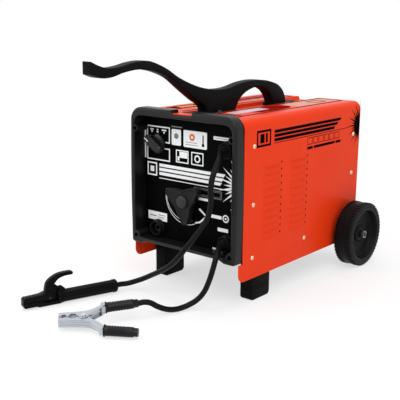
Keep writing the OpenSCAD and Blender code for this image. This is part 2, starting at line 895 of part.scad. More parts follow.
module selector_knob() {
    bar_y = recess_d - 22;
    color("black") machine() translate([selector_x, 0, selector_z]) difference() {
        union() {
            rod_y(0, 0, recess_d - 7, recess_d - gap, 19);
            rotate([0, 28, 0]) along_y(bar_y, recess_d - 6.5) {
                round_rect(-selector_bar / 2, selector_bar / 2, -6.5, 6.5, 6);
            }
        }
        rod_y(0, 0, 15, recess_d, 4 + run_gap);
    }
}

module socket_collar(p) {
    difference() {
        union() {
            rod_y(p[0], p[1], recess_d - 12, recess_d, collar_r);
            rod_y(p[0], p[1], recess_d - 1, panel_back + 20, socket_neck);
            rod_y(p[0], p[1], panel_back, panel_back + 5, collar_r);
        }
        rod_y(p[0], p[1], recess_d - 13, panel_back + 14, collar_bore);
        rod_y(p[0], p[1], recess_d, panel_back + 21, contact_tail + gap);
    }
}

module sockets() {
    color("black") machine() for (p = socket_places()) socket_collar(p);
}

module socket_contacts() {
    color("goldenrod") machine() for (p = socket_places()) difference() {
        union() {
            rod_y(p[0], p[1], recess_d - 3, panel_back + 14, contact_r);
            rod_y(p[0], p[1], panel_back + 13, panel_back + 36, contact_tail);
        }
        rod_y(p[0], p[1], recess_d - 4, panel_back + 10, contact_bore);
    }
}

// Each strap runs from a socket's tail to the front of the secondary winding
module output_bars() {
    coil_y = core_y - core_stack / 2 - coil_in - coil_t;
    y0 = panel_back + 26;
    x1 = spindle_x + leg_x;
    tail = contact_tail + gap;
    color("peru") machine() {
        difference() {
            union() {
                block(socket_x - 8, socket_x + 8, y0, y0 + 3, 150, socket_high + 8);
                block(x1 + 2, socket_x + 8, y0, y0 + 3, 150, 166);
                block(x1 + 2, x1 + 18, y0, coil_y, 150, 153);
            }
            rod_y(socket_x, socket_high, y0 - 1, y0 + 4, tail);
        }
        difference() {
            union() {
                block(x1 - 16, socket_x + 8, y0, y0 + 3, socket_low - 8, socket_low + 8);
                block(x1 - 16, x1, y0, y0 + 3, socket_low - 8, 143);
                block(x1 - 16, x1, y0, coil_y, 140, 143);
            }
            rod_y(socket_x, socket_low, y0 - 1, y0 + 4, tail);
        }
        difference() {
            union() {
                block(selector_x - 8, x1 - 20, y0 + 6, y0 + 9, socket_low - 8, socket_low + 8);
                block(x1 - 32, x1 - 20, y0 + 6, y0 + 9, socket_low - 8, 143);
                block(x1 - 32, x1 - 20, y0 + 6, coil_y, 140, 143);
            }
            rod_y(selector_x, socket_low, y0 + 5, y0 + 10, tail);
        }
    }
}

module plug(p) {
    difference() {
        union() {
            rod_y(p[0], p[1], plug_front, panel_back + 10, collar_bore - gap);
            rod_y(p[0], p[1], plug_front, panel_back + 8, contact_bore - run_gap);
        }
        difference() {
            rod_y(p[0], p[1], recess_d - 3 - gap, panel_back + 11, contact_r + gap);
            rod_y(p[0], p[1], recess_d - 4, panel_back + 8, contact_bore - run_gap);
        }
    }
}

module electrode_plug() {
    color("black") machine() plug([socket_x, socket_high]);
}

module ground_plug() {
    color("black") machine() plug([socket_x, socket_low]);
}

module mains_gland() {
    color("black") machine() difference() {
        union() {
            rod_y(80, 125, rear_face - 12, body_l + 22, 10);
            along_y(body_l, body_l + 8) translate([80, 125]) circle(15, $fn = 6);
            rod_y(80, 125, body_l + 8, body_l + 18, 12.5);
        }
        rod_y(80, 125, rear_face - 13, body_l + 23, gland_bore / 2);
    }
}

module gland_nut() {
    color("black") machine() difference() {
        along_y(rear_face - 7, rear_face) translate([80, 125]) circle(14, $fn = 6);
        rod_y(80, 125, rear_face - 8, rear_face + 1, 10 + run_gap);
    }
}

module terminal_block() {
    color("ivory") machine() difference() {
        block(30, 78, rear_face - 80, rear_face - 60, tray_z, tray_z + 20);
        for (x = [38, 54, 70]) rod_z(x, rear_face - 70, tray_z + 8, tray_z + 21, 3);
    }
}

module electrode_cable() {
    color("black") machine() tube(electrode_route, cable_r);
}

module ground_cable() {
    color("black") machine() tube(ground_route, cable_r);
}

// ---- electrode holder ----

// x runs from the holder's rear end to its tip, and z is up from its axis
module at_holder() {
    machine() translate(holder_at) rotate([0, 0, holder_yaw]) children();
}

module holder_grip() {
    color("black") at_holder() difference() {
        rod_x(0, 0, 0, grip_l, holder_r);
        rod_x(0, 0, 20, grip_l + 1, tang_r + gap);
        rod_x(0, 0, -1, 14, cable_r + cable_room);
    }
}

// The head carries the brass conductor, the hinge web and the lower jaw
module holder_head() {
    low = -holder_r + 1;
    color("black") at_holder() difference() {
        union() {
            rod_x(0, 0, 22, grip_l + 8, tang_r);
            rod_x(0, 0, grip_l, grip_l + 8, holder_r);
            along_y(-9, 9) polygon([
                [grip_l + 1, low], [holder_l - 30, low], [holder_l - 26, low + 2], [holder_l - 3, low + 2],
                [holder_l, low + 5], [holder_l, -gap], [hinge_x + 1, -gap], [hinge_x - 2, -4.5],
                [grip_l + 1, -4.5]
            ]);
            along_y(-web_t / 2, web_t / 2) polygon([
                [grip_l + 1, -5], [hinge_x, -5], [hinge_x, -gap], [pivot_x + 6, pivot_z + 3],
                [pivot_x - 6, pivot_z + 4], [grip_l + 1, 8]
            ]);
            difference() {
                along_y(-6, 6) translate([grip_l - 1, holder_r]) circle(7);
                rod_x(0, 0, grip_l - 10, grip_l, holder_r + gap);
            }
        }
        rod_y(pivot_x, pivot_z, -10, 10, holder_pin_r + run_gap);
        rod_y(pivot_x, pivot_z, -2.4, 2.4, 5.2);
        rod_y(holder_l - 14, -gap / 2, -10, 10, 1.6);
    }
}

// The lever is the upper jaw and the thumb piece that opens it
module holder_lever() {
    color("black") at_holder() difference() {
        union() {
            along_y(-8.5, 8.5) difference() {
                polygon([
                    [holder_l, 0], [holder_l, 7], [holder_l - 3, 10], [hinge_x + 6, 11],
                    [pivot_x + 8, 14], [pivot_x - 6, 14], [pivot_x - 8, pivot_z], [pivot_x - 4, pivot_z - 5],
                    [pivot_x + 4, pivot_z - 5], [hinge_x + 2, 0]
                ]);
                translate([holder_l - 14, -gap / 2]) circle(1.6);
            }
            along_y(-5.5, 5.5) polygon(concat(spline(lever_back, 4), spline(lever_belly, 4)));
        }
        block(pivot_x - 20, hinge_x + 0.5, -web_t / 2 - gap, web_t / 2 + gap, -8, 9);
        rod_y(pivot_x, pivot_z, -10, 10, holder_pin_r + run_gap);
    }
}

module holder_pin() {
    color("silver") at_holder() rod_y(pivot_x, pivot_z, -9.4, 9.4, holder_pin_r);
}

// A coil whose turns touch, drawn round the Z axis
module closed_coil(inner_r, wire_r, turns) {
    pitch = 1.9 * wire_r;
    rotate_extrude() for (i = [0 : turns - 1]) {
        translate([inner_r + wire_r, (i - (turns - 1) / 2) * pitch]) circle(wire_r, $fn = 16);
    }
}

module holder_spring() {
    color("silver") at_holder() translate([pivot_x, 0, pivot_z]) rotate([90, 0, 0]) {
        closed_coil(holder_pin_r + gap, 0.7, 3);
    }
}

// ---- ground clamp ----

// x runs from the pivot to the jaw tip, y across the clamp and z along the pivot pin
module at_clamp() {
    machine() translate(clamp_at) rotate([clamp_roll, clamp_pitch, clamp_yaw]) children();
}

// Side plate of one arm, drawn on the positive side of the clamp's middle plane
module arm_outline() {
    polygon([
        [jaw_l, gap / 2], [jaw_l, jaw_h - 2], [jaw_l - 2, jaw_h], [14, jaw_h + 1.5], [0, jaw_h + 3],
        [-12, jaw_h + 7], [-24, 27.5], [-35, 41], [-36.5, 33.5], [-30, 24], [-20, 14], [-10, 5], [-8, gap / 2]
    ]);
}

// Rim that joins the two side plates along the outer edge
module arm_rim() {
    difference() {
        arm_outline();
        translate([0, -plate_t]) arm_outline();
        translate([-40, -1]) square([29, 30]);
        translate([-8 - plate_t, -1]) square([jaw_l + 8, jaw_h - 2]);
    }
}

module clamp_arm(plate_z) {
    height = 2 * plate_z;
    difference() {
        union() {
            for (s = [-1, 1]) translate([0, 0, s * (plate_z - plate_t / 2) - plate_t / 2]) {
                linear_extrude(plate_t) difference() {
                    union() {
                        arm_outline();
                        circle(8);
                    }
                    translate([34, 0]) circle(4);
                    translate([18, 0]) circle(6.5);
                }
            }
            translate([0, 0, -plate_z]) linear_extrude(height) arm_rim();
            translate([jaw_l - plate_t, gap / 2, -plate_z]) cube([plate_t, jaw_h - 1, height]);
            at_grip() translate([-7, -4.5, -plate_z]) cube([6, 9, height]);
            at_grip() translate([-3, -5, -4]) cube([grip_len - 9, 10, 8]);
        }
        translate([0, 0, -20]) cylinder(h = 40, r = clamp_pin_r + run_gap);
    }
}

module at_grip() {
    translate([grip_x, grip_y, 0]) rotate(180 - grip_turn) children();
}

module clamp_fixed_arm() {
    color("silver") at_clamp() mirror([0, 1, 0]) clamp_arm(clamp_w / 2);
}

module clamp_moving_arm() {
    color("silver") at_clamp() clamp_arm(clamp_w / 2 - plate_t - gap);
}

module clamp_pin() {
    half = clamp_w / 2 + gap / 2;
    color("silver") at_clamp() {
        translate([0, 0, -half - 1]) cylinder(h = 2 * half + 2, r = clamp_pin_r);
        for (s = [0, 1]) mirror([0, 0, s]) translate([0, 0, half]) cylinder(h = 2, r = 4.5);
    }
}

module clamp_spring() {
    color("silver") at_clamp() {
        closed_coil(clamp_pin_r + gap + 0.2, 0.9, 5);
        translate([0, -clamp_pin_r - 1.4, -3.4]) rotate([0, 90, 222]) cylinder(h = 24, r = 0.9);
    }
}

module clamp_grip() {
    at_grip() difference() {
        rotate([0, 90, 0]) rotate_extrude() polygon([
            [0, 0], [11, 0], [11, 2.5], [9.2, 3.5], [8.8, grip_len - 1], [7.8, grip_len],
            [7.4, grip_len + 8], [0, grip_len + 8]
        ]);
        translate([-1, -5 - gap, -4 - gap]) cube([grip_len - 10, 10 + 2 * gap, 8 + 2 * gap]);
        translate([grip_len - 4, 0, 0]) rotate([0, 90, 0]) cylinder(h = 20, r = cable_r + cable_room);
    }
}

module clamp_fixed_grip() {
    color("black") at_clamp() mirror([0, 1, 0]) clamp_grip();
}

module clamp_moving_grip() {
    color("black") at_clamp() clamp_grip();
}

cover();
base_tray();
rear_panel();
front_panel();
front_bezel();
bezel_screws();
cover_screws();
handle();
handle_bolts();
foot_left();
foot_right();
foot_bolts();
axle();
axle_brackets();
axle_spacers();
axle_clips();
wheel_left();
wheel_right();
current_knob();
knob_cap();
spindle();
spindle_collar();
spindle_bush();
spindle_bracket();
shunt();
shunt_nut();
shunt_guides();
core();
core_clamps();
core_bolts();
primary_coil();
secondary_coil();
coil_formers();
thermal_cutout();
fan_motor();
fan_blade();
fan_bracket();
selector_switch();
selector_knob();
sockets();
socket_contacts();
output_bars();
electrode_plug();
ground_plug();
mains_gland();
gland_nut();
terminal_block();
electrode_cable();
ground_cable();
holder_grip();
holder_head();
holder_lever();
holder_pin();
holder_spring();
clamp_fixed_arm();
clamp_moving_arm();
clamp_pin();
clamp_spring();
clamp_fixed_grip();
clamp_moving_grip();
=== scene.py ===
"""Looks of a wheeled stick welder: its finishes, detailed pieces, cords, light and camera.

Lengths in the sub-assembly classes are millimetres in the machine's own lengthwise scale, where y
is counted backwards from the bezel's front face, and at() turns them into the frame's metres.
"""
import logging
import math
from dataclasses import dataclass, field
from enum import Enum
from typing import Callable, Iterable, Sequence

import bpy
from mathutils import Matrix, Vector


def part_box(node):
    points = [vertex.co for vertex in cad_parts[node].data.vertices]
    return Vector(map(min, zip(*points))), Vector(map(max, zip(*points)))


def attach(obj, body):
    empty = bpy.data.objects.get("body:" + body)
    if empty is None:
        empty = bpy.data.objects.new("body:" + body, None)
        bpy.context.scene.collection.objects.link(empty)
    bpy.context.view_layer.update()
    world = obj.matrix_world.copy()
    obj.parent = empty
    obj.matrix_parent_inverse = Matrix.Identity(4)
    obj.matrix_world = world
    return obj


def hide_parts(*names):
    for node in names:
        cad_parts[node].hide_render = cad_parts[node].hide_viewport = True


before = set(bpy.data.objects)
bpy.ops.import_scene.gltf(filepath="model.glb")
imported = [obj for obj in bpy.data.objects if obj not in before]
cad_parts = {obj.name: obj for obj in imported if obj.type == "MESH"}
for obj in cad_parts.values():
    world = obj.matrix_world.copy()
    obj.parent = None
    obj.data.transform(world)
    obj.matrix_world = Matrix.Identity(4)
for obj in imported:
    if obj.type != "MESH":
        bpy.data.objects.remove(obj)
LOG = logging.getLogger("welder")
MM = 0.001
BEZEL_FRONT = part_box("front_bezel")[0][1]
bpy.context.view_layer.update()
SIDE_NAMES = {-1: "left", 1: "right"}
MIRROR = Matrix.Scale(-1, 4, Vector((1, 0, 0)))
Colour = tuple[float, float, float]
Point2 = tuple[float, float]


def at(x: float, y: float, z: float) -> Vector:
    """Gives a machine point as a point of the frame.

    Args:
        x: Distance to the right of the centre plane, in millimetres.
        y: Distance behind the bezel's front face, in millimetres.
        z: Height above the ground, in millimetres.

    Returns:
        The point in metres.
    """
    return Vector((x * MM, BEZEL_FRONT + y * MM, z * MM))


class Axis(Enum):
    """The direction in which an outline is thickened or a profile is turned."""

    X = Vector((1, 0, 0))
    Y = Vector((0, 1, 0))
    Z = Vector((0, 0, 1))


# ---------------------------------------------------------------- shared shader groups


def fill(node: bpy.types.Node, values: dict[str, object]) -> None:
    """Sets a node's inputs by name."""
    for label, value in values.items():
        node.inputs[label].default_value = value


def add(tree: bpy.types.NodeTree, kind: str, values: dict[str, object] | None = None,
        **settings: object) -> bpy.types.Node:
    """Adds a shader node.

    Args:
        tree: The tree that the node goes into.
        kind: The node's type, without the ShaderNode in front.
        values: The inputs' values by name.
        settings: The node's own properties, which are set first.

    Returns:
        The node.
    """
    node = tree.nodes.new(f"ShaderNode{kind}")
    for label, value in settings.items():
        setattr(node, label, value)
    fill(node, values or {})
    return node


def wire(tree: bpy.types.NodeTree,
         *wires: tuple[bpy.types.Node, str, bpy.types.Node, str | int]) -> None:
    """Links nodes; each wire is a node, its output, another node and that one's input."""
    for source, output, target, socket in wires:
        tree.links.new(source.outputs[output], target.inputs[socket])


def new_group(name: str, inputs: dict[str, float], outputs: Sequence[str]) -> bpy.types.NodeTree:
    """Makes an empty shader group.

    Args:
        name: The group's name.
        inputs: Each float input's name and default.
        outputs: The names of its float outputs.

    Returns:
        The node tree, with nodes named "in" and "out".
    """
    tree = bpy.data.node_groups.new(name, "ShaderNodeTree")
    for label, default in inputs.items():
        socket = tree.interface.new_socket(label, in_out="INPUT", socket_type="NodeSocketFloat")
        socket.default_value = default
    for label in outputs:
        tree.interface.new_socket(label, in_out="OUTPUT", socket_type="NodeSocketFloat")
    tree.nodes.new("NodeGroupInput").name = "in"
    tree.nodes.new("NodeGroupOutput").name = "out"
    return tree


def noise(tree: bpy.types.NodeTree, detail: float, rough: float) -> bpy.types.Node:
    """Adds a noise texture on Object coordinates to a tree and returns it."""
    texture = add(tree, "TexNoise", {"Detail": detail, "Roughness": rough})
    wire(tree, (add(tree, "TexCoord"), "Object", texture, "Vector"))
    return texture


def grain_group() -> bpy.types.NodeTree:
    """Builds the fine surface grain of mouldings and paint: a height, and a slow mottle mask."""
    tree = new_group("surface_grain", {"Fine Scale": 900.0, "Slow Scale": 14.0}, ("Height", "Mottle"))
    fine, slow = noise(tree, 3.0, 0.6), noise(tree, 5.0, 0.55)
    source, out = tree.nodes["in"], tree.nodes["out"]
    wire(tree, (source, "Fine Scale", fine, "Scale"), (source, "Slow Scale", slow, "Scale"),
         (fine, "Fac", out, "Height"), (slow, "Fac", out, "Mottle"))
    return tree


def dust_group() -> bpy.types.NodeTree:
    """Builds the mask of light dust that settles on upward faces, broken up by noise."""
    tree = new_group("settled_dust", {"Amount": 0.1}, ("Mask",))
    split = add(tree, "SeparateXYZ")
    facing = add(tree, "MapRange", {"From Min": 0.45, "From Max": 1.0})
    patches = noise(tree, 6.0, 0.6)
    fill(patches, {"Scale": 38.0})
    product, scaled = (add(tree, "Math", operation="MULTIPLY") for _ in range(2))
    wire(tree, (add(tree, "TexCoord"), "Normal", split, "Vector"), (split, "Z", facing, "Value"),
         (facing, "Result", product, 0), (patches, "Fac", product, 1), (product, "Value", scaled, 0),
         (tree.nodes["in"], "Amount", scaled, 1), (scaled, "Value", tree.nodes["out"], "Mask"))
    return tree


GRAIN = grain_group()
DUST = dust_group()
MADE: dict[str, bpy.types.Material] = {}
DUST_COLOUR = (0.42, 0.40, 0.37, 1.0)


# ---------------------------------------------------------------- finishes


@dataclass(frozen=True)
class Finish:
    """A surface finish with grain, mottle and settled dust.

    Attributes:
        name: The material's name.
        colour: The main colour, linear.
        shade: The darker colour that the slow mottle mixes in.
        rough: The mean roughness.
        rough_spread: How far the mottle moves the roughness either way.
        metallic: 1 for bare metal.
        grain: The size of the fine grain, as noise cells per metre.
        bump: The depth of the fine grain, in metres.
        dust: How much settled dust shows.
        specular: The specular level.
    """

    name: str
    colour: Colour
    shade: Colour
    rough: float
    rough_spread: float = 0.05
    metallic: float = 0.0
    grain: float = 900.0
    bump: float = 0.00002
    dust: float = 0.0
    specular: float = 0.5

    def build(self) -> bpy.types.Material:
        """Makes the material, or returns the one already made of this finish."""
        if self.name in MADE:
            return MADE[self.name]
        MADE[self.name] = material = bpy.data.materials.new(self.name)
        material.use_nodes = True
        material.diffuse_color = (*self.colour, 1.0)
        tree = material.node_tree
        shader = tree.nodes["Principled BSDF"]
        fill(shader, {"Metallic": self.metallic, "Specular IOR Level": self.specular})
        grain = add(tree, "Group", {"Fine Scale": self.grain}, node_tree=GRAIN)
        dust = add(tree, "Group", {"Amount": self.dust}, node_tree=DUST)
        tint = add(tree, "Mix", {"A": (*self.colour, 1.0), "B": (*self.shade, 1.0)}, data_type="RGBA")
        powder = add(tree, "Mix", {"B": DUST_COLOUR}, data_type="RGBA")
        spread = add(tree, "MapRange", {
            "From Min": 0.3, "From Max": 0.7, "To Min": max(self.rough - self.rough_spread, 0.02),
            "To Max": min(self.rough + self.rough_spread, 1.0)})
        bump = add(tree, "Bump", {"Strength": 1.0, "Distance": self.bump})
        wire(tree, (grain, "Mottle", tint, "Factor"), (tint, "Result", powder, "A"),
             (dust, "Mask", powder, "Factor"), (powder, "Result", shader, "Base Color"),
             (grain, "Mottle", spread, "Value"), (spread, "Result", shader, "Roughness"),
             (grain, "Height", bump, "Height"), (bump, "Normal", shader, "Normal"))
        return material


def ink_finish(name: str, colour: Colour, shade: Colour, specular: float, rough: float = 0.5,
               bump: float = 0.000006) -> Finish:
    """Gives the finish of one printing ink."""
    return Finish(f"{name}_ink", colour, shade, rough, 0.04, grain=1500, bump=bump, specular=specular)


WHITE_INK = ink_finish("white", (0.84, 0.85, 0.86), (0.78, 0.79, 0.80), 0.3)
GREY_INK = ink_finish("grey", (0.20, 0.20, 0.21), (0.15, 0.15, 0.16), 0.2)
ORANGE_INK = ink_finish("orange", (0.70, 0.20, 0.02), (0.58, 0.14, 0.015), 0.3)
PALE_INK = ink_finish("pale", (0.60, 0.52, 0.58), (0.50, 0.43, 0.50), 0.3, 0.4)
SALMON_INK = ink_finish("salmon", (0.66, 0.24, 0.14), (0.58, 0.19, 0.11), 0.35, 0.4, 0.000004)
RED_INK = ink_finish("red", (0.26, 0.008, 0.006), (0.20, 0.006, 0.004), 0.0, 0.6, 0.000004)
BLACK_INK = ink_finish("black", (0.0036, 0.0024, 0.0028), (0.0060, 0.0044, 0.0048), 0.0, 0.6, 0.000004)
ORANGE = Finish("orange_enamel", (0.78, 0.046, 0.0060), (0.74, 0.036, 0.0050), 0.34, 0.04,
                grain=700, bump=0.000002, specular=0.06)
PANEL = Finish("panel_enamel", (0.0010, 0.0010, 0.0012), (0.0018, 0.0018, 0.0020), 0.5, 0.05,
               grain=1500, bump=0.000004, specular=0.02)
BEZEL = Finish("bezel_grey", (0.0032, 0.0033, 0.0036), (0.0050, 0.0052, 0.0056), 0.36, 0.06,
               grain=1600, bump=0.00002, dust=0.01, specular=0.24)
HANDLE = Finish("handle_black", (0.0036, 0.0036, 0.0040), (0.0052, 0.0052, 0.0056), 0.46, 0.06,
                grain=1300, bump=0.00002, dust=0.006, specular=0.04)
KNOB = Finish("knob_black", (0.0075, 0.0075, 0.0080), (0.0105, 0.0105, 0.0110), 0.36, 0.05, grain=1500,
              bump=0.00001, specular=0.12)
POINTER = Finish("pointer_black", (0.0050, 0.0056, 0.0075), (0.0080, 0.0088, 0.0110), 0.30, 0.05, grain=1500,
                 bump=0.00001, specular=0.30)
CAP = Finish("cap_grey", (0.014, 0.014, 0.015), (0.019, 0.019, 0.020), 0.38, 0.05, grain=1500, bump=0.00001,
             specular=0.3)
SOCKET = Finish("socket_black", (0.0036, 0.0036, 0.0040), (0.0058, 0.0058, 0.0062), 0.44, 0.06, grain=1400,
                bump=0.00002, specular=0.08)
FOOT = Finish("foot_black", (0.0020, 0.0020, 0.0023), (0.0040, 0.0040, 0.0044), 0.52, 0.06,
              grain=800, bump=0.00003, dust=0.01, specular=0.05)
TYRE = Finish("wheel_black", (0.0034, 0.0035, 0.0040), (0.0060, 0.0062, 0.0068), 0.46, 0.08,
              grain=700, bump=0.00003, dust=0.015, specular=0.09)
CABLE = Finish("cable_sheath", (0.0030, 0.0030, 0.0034), (0.0052, 0.0052, 0.0056), 0.40, 0.07,
               grain=900, bump=0.00002, specular=0.10)
HOLDER = Finish("holder_black", (0.0018, 0.0018, 0.0022), (0.0036, 0.0036, 0.0040), 0.34, 0.07,
                grain=1000, bump=0.00002, specular=0.07)
GRIP = Finish("vinyl_grip", (0.0045, 0.0048, 0.0062), (0.0070, 0.0074, 0.0092), 0.32, 0.05, grain=1100,
              bump=0.00002, specular=0.20)
ZINC = Finish("bright_zinc", (0.70, 0.71, 0.73), (0.58, 0.59, 0.62), 0.30, 0.08, 1.0, 1100, 0.00001)
DARK_ZINC = Finish("dark_zinc", (0.10, 0.10, 0.105), (0.07, 0.07, 0.075), 0.38, 0.08, 0.9, 1100, 0.00001)
AXLE_END = Finish("blackened_steel", (0.030, 0.031, 0.034), (0.018, 0.019, 0.021), 0.42, 0.08, 0.7, 1100,
                  0.00001)
PRESSED = Finish("pressed_zinc", (0.56, 0.59, 0.62), (0.40, 0.43, 0.47), 0.30, 0.1, 1.0, 620, 0.00002)
WARM_ZINC = Finish("warm_zinc", (0.88, 0.74, 0.52), (0.74, 0.58, 0.36), 0.32, 0.08, 0.6, 1100, 0.00001)
# Painted shade: dark red-brown patches printed behind each louvre's rear end stand in for the shade in its
# opening.
LOUVRE_SHADE_PAINT = Finish("press_edge", (0.075, 0.006, 0.004), (0.05, 0.004, 0.003), 0.6, 0.05, specular=0.0)
TRAY = Finish("tray_black", (0.010, 0.010, 0.011), (0.015, 0.015, 0.016), 0.5, 0.06, grain=700, bump=0.00002,
              dust=0.03, specular=0.2)
BRASS = Finish("turned_brass", (0.78, 0.52, 0.18), (0.62, 0.38, 0.12), 0.28, 0.06, 1.0, 1500, 0.00001)
DULL_BRASS = Finish("dull_brass", (0.055, 0.038, 0.018), (0.035, 0.024, 0.012), 0.5, 0.08, 1.0, 1500, 0.00001)
COPPER = Finish("bare_copper", (0.80, 0.33, 0.18), (0.62, 0.24, 0.13), 0.34, 0.08, 1.0, 900, 0.00001)
WINDING = Finish("varnished_winding", (0.33, 0.09, 0.025), (0.18, 0.045, 0.014), 0.32, 0.08,
                 grain=420, bump=0.0002)
BOARD = Finish("insulating_board", (0.52, 0.36, 0.17), (0.40, 0.27, 0.12), 0.7, 0.08, grain=600, bump=0.00005)
LAMINATION = Finish("lamination_steel", (0.13, 0.14, 0.16), (0.08, 0.085, 0.10), 0.42, 0.1, 0.9, 300, 0.00005)
IVORY = Finish("ivory_moulding", (0.62, 0.56, 0.42), (0.55, 0.49, 0.36), 0.45, 0.05, grain=1300, bump=0.00002)
FAN = Finish("fan_moulding", (0.05, 0.05, 0.055), (0.08, 0.08, 0.085), 0.48, 0.06, dust=0.1)

NODE_FINISH: dict[str, Finish] = {name: finish for finish, names in (
    (ORANGE, "cover rear_panel"),
    (TRAY, "base_tray axle_brackets spindle_bracket core_clamps fan_motor fan_bracket"),
    (PANEL, "front_panel"),
    (BEZEL, "front_bezel"),
    (DARK_ZINC, "bezel_screws"),
    (ZINC, "cover_screws handle_bolts foot_bolts axle axle_spacers axle_clips spindle spindle_collar "
           "core_bolts holder_spring clamp_pin clamp_spring"),
    (HANDLE, "handle"),
    (FOOT, "foot_left foot_right"),
    (TYRE, "wheel_left wheel_right"),
    (KNOB, "current_knob knob_cap thermal_cutout selector_knob"),
    (BRASS, "spindle_bush shunt_nut"),
    (LAMINATION, "shunt core"),
    (BOARD, "shunt_guides coil_formers"),
    (WINDING, "primary_coil secondary_coil"),
    (FAN, "fan_blade"),
    (IVORY, "selector_switch terminal_block"),
    (SOCKET, "sockets electrode_plug ground_plug mains_gland gland_nut"),
    (DULL_BRASS, "socket_contacts"),
    (COPPER, "output_bars"),
    (HOLDER, "holder_grip holder_head holder_lever"),
    (AXLE_END, "holder_pin"),
    (PRESSED, "clamp_fixed_arm clamp_moving_arm"),
    (GRIP, "clamp_fixed_grip clamp_moving_grip"),
) for name in names.split()}


# ---------------------------------------------------------------- modelling bench


class Bench:
    """Modelling steps that the sub-assemblies share. Each leaves a mesh at the origin."""

    @staticmethod
    def clear() -> None:
        """Leaves edit mode and deselects everything."""
        if bpy.context.object is not None and bpy.context.mode != "OBJECT":
            bpy.ops.object.mode_set(mode="OBJECT")
        bpy.ops.object.select_all(action="DESELECT")

    @staticmethod
    def pick(*pieces: bpy.types.Object) -> None:
        """Selects these pieces alone and makes the first one active."""
        Bench.clear()
        for piece in pieces:
            piece.select_set(True)
        bpy.context.view_layer.objects.active = pieces[0]

    @staticmethod
    def edit(piece: bpy.types.Object) -> None:
        """Opens one piece for editing with all of it selected."""
        Bench.pick(piece)
        bpy.ops.object.mode_set(mode="EDIT")
        bpy.ops.mesh.select_all(action="SELECT")

    @staticmethod
    def close() -> None:
        """Leaves edit mode."""
        bpy.ops.object.mode_set(mode="OBJECT")

    @staticmethod
    def settle(piece: bpy.types.Object) -> bpy.types.Object:
        """Moves a piece's place and turn into its mesh."""
        Bench.pick(piece)
        bpy.ops.object.transform_apply(location=True, rotation=True, scale=True)
        return piece

    @staticmethod
    def ring(points: Sequence[Vector], filled: bool = True) -> bpy.types.Object:
        """Lays a circle primitive's vertices along a closed outline.

        Args:
            points: The outline's corners in order.
            filled: Whether one face fills the outline.

        Returns:
            The outline as a mesh object.
        """
        Bench.clear()
        bpy.ops.mesh.primitive_circle_add(vertices=len(points), fill_type="NGON" if filled else "NOTHING")
        piece = bpy.context.object
        for vertex, point in zip(piece.data.vertices, points):
            vertex.co = point
        return piece

    @staticmethod
    def tidy(piece: bpy.types.Object) -> None:
        """Merges doubles and turns every face outwards."""
        Bench.edit(piece)
        bpy.ops.mesh.remove_doubles(threshold=0.000002)
        bpy.ops.mesh.dissolve_degenerate(threshold=0.000002)
        bpy.ops.mesh.select_all(action="SELECT")
        bpy.ops.mesh.normals_make_consistent(inside=False)
        Bench.close()

    @staticmethod
    def slab(points: Sequence[Vector], along: Vector) -> bpy.types.Object:
        """Thickens a flat outline into a closed solid.

        Args:
            points: The outline's corners.
            along: The way and distance to extrude, in metres.

        Returns:
            The solid.
        """
        piece = Bench.ring(points)
        Bench.edit(piece)
        bpy.ops.mesh.extrude_region_move(TRANSFORM_OT_translate={"value": along})
        Bench.close()
        Bench.tidy(piece)
        return piece

    @staticmethod
    def upright(outline: Sequence[Point2], y: float, depth: float) -> bpy.types.Object:
        """Thickens an outline drawn in X and Z backwards from y, in millimetres."""
        return Bench.slab([at(u, y, v) for u, v in outline], Vector((0, depth * MM, 0)))

    @staticmethod
    def flat(outline: Sequence[Point2], z: float, height: float) -> bpy.types.Object:
        """Thickens an outline drawn in X and Y upwards from z, in millimetres."""
        return Bench.slab([at(u, v, z) for u, v in outline], Vector((0, 0, height * MM)))

    @staticmethod
    def lathe(profile: Sequence[Point2], centre: Vector, axis: Axis, steps: int = 48) -> bpy.types.Object:
        """Spins a closed profile round an axis.

        Args:
            profile: Corners as (radius, distance along the axis), in millimetres.
            centre: A point of the axis, where the distance is zero.
            axis: The direction of the axis.
            steps: Facets in a full turn.

        Returns:
            The turned solid.
        """
        side = Vector((0, 0, 1)) if axis is not Axis.Z else Vector((1, 0, 0))
        points = [centre + side * r * MM + axis.value * s * MM for r, s in profile]
        piece = Bench.ring(points, filled=False)
        Bench.edit(piece)
        bpy.ops.mesh.spin(steps=steps, angle=2 * math.pi, center=centre, axis=axis.value)
        Bench.close()
        Bench.tidy(piece)
        return piece

    @staticmethod
    def modify(piece: bpy.types.Object, kind: str, **settings: object) -> bpy.types.Object:
        """Adds a modifier of that kind with its settings and applies it."""
        Bench.pick(piece)
        modifier = piece.modifiers.new(kind.title(), kind)
        for label, value in settings.items():
            setattr(modifier, label, value)
        bpy.ops.object.modifier_apply(modifier=modifier.name)
        return piece

    @staticmethod
    def bevel(piece: bpy.types.Object, width: float, segments: int = 3,
              angle: float = 30) -> bpy.types.Object:
        """Rounds every edge sharper than an angle in degrees to a width in millimetres."""
        return Bench.modify(piece, "BEVEL", width=width * MM, segments=segments, limit_method="ANGLE",
                            angle_limit=math.radians(angle), use_clamp_overlap=True)

    @staticmethod
    def round_edges(piece: bpy.types.Object, test: Callable[[Vector, Vector], bool], width: float,
                    segments: int = 4) -> bpy.types.Object:
        """Rounds the edges whose two ends pass a test.

        Args:
            piece: The solid.
            test: Says whether the edge between two points, in metres, is rounded.
            width: The rounding's width in millimetres.
            segments: Facets in the rounding.

        Returns:
            The piece.
        """
        Bench.pick(piece)
        bpy.ops.object.mode_set(mode="EDIT")
        bpy.ops.mesh.select_mode(type="EDGE")
        bpy.ops.mesh.select_all(action="DESELECT")
        Bench.close()
        points = piece.data.vertices
        for edge in piece.data.edges:
            edge.select = test(points[edge.vertices[0]].co, points[edge.vertices[1]].co)
        bpy.ops.object.mode_set(mode="EDIT")
        bpy.ops.mesh.bevel(offset=width * MM, segments=segments, affect="EDGES", clamp_overlap=False)
        bpy.ops.mesh.select_mode(type="VERT")
        Bench.close()
        return piece

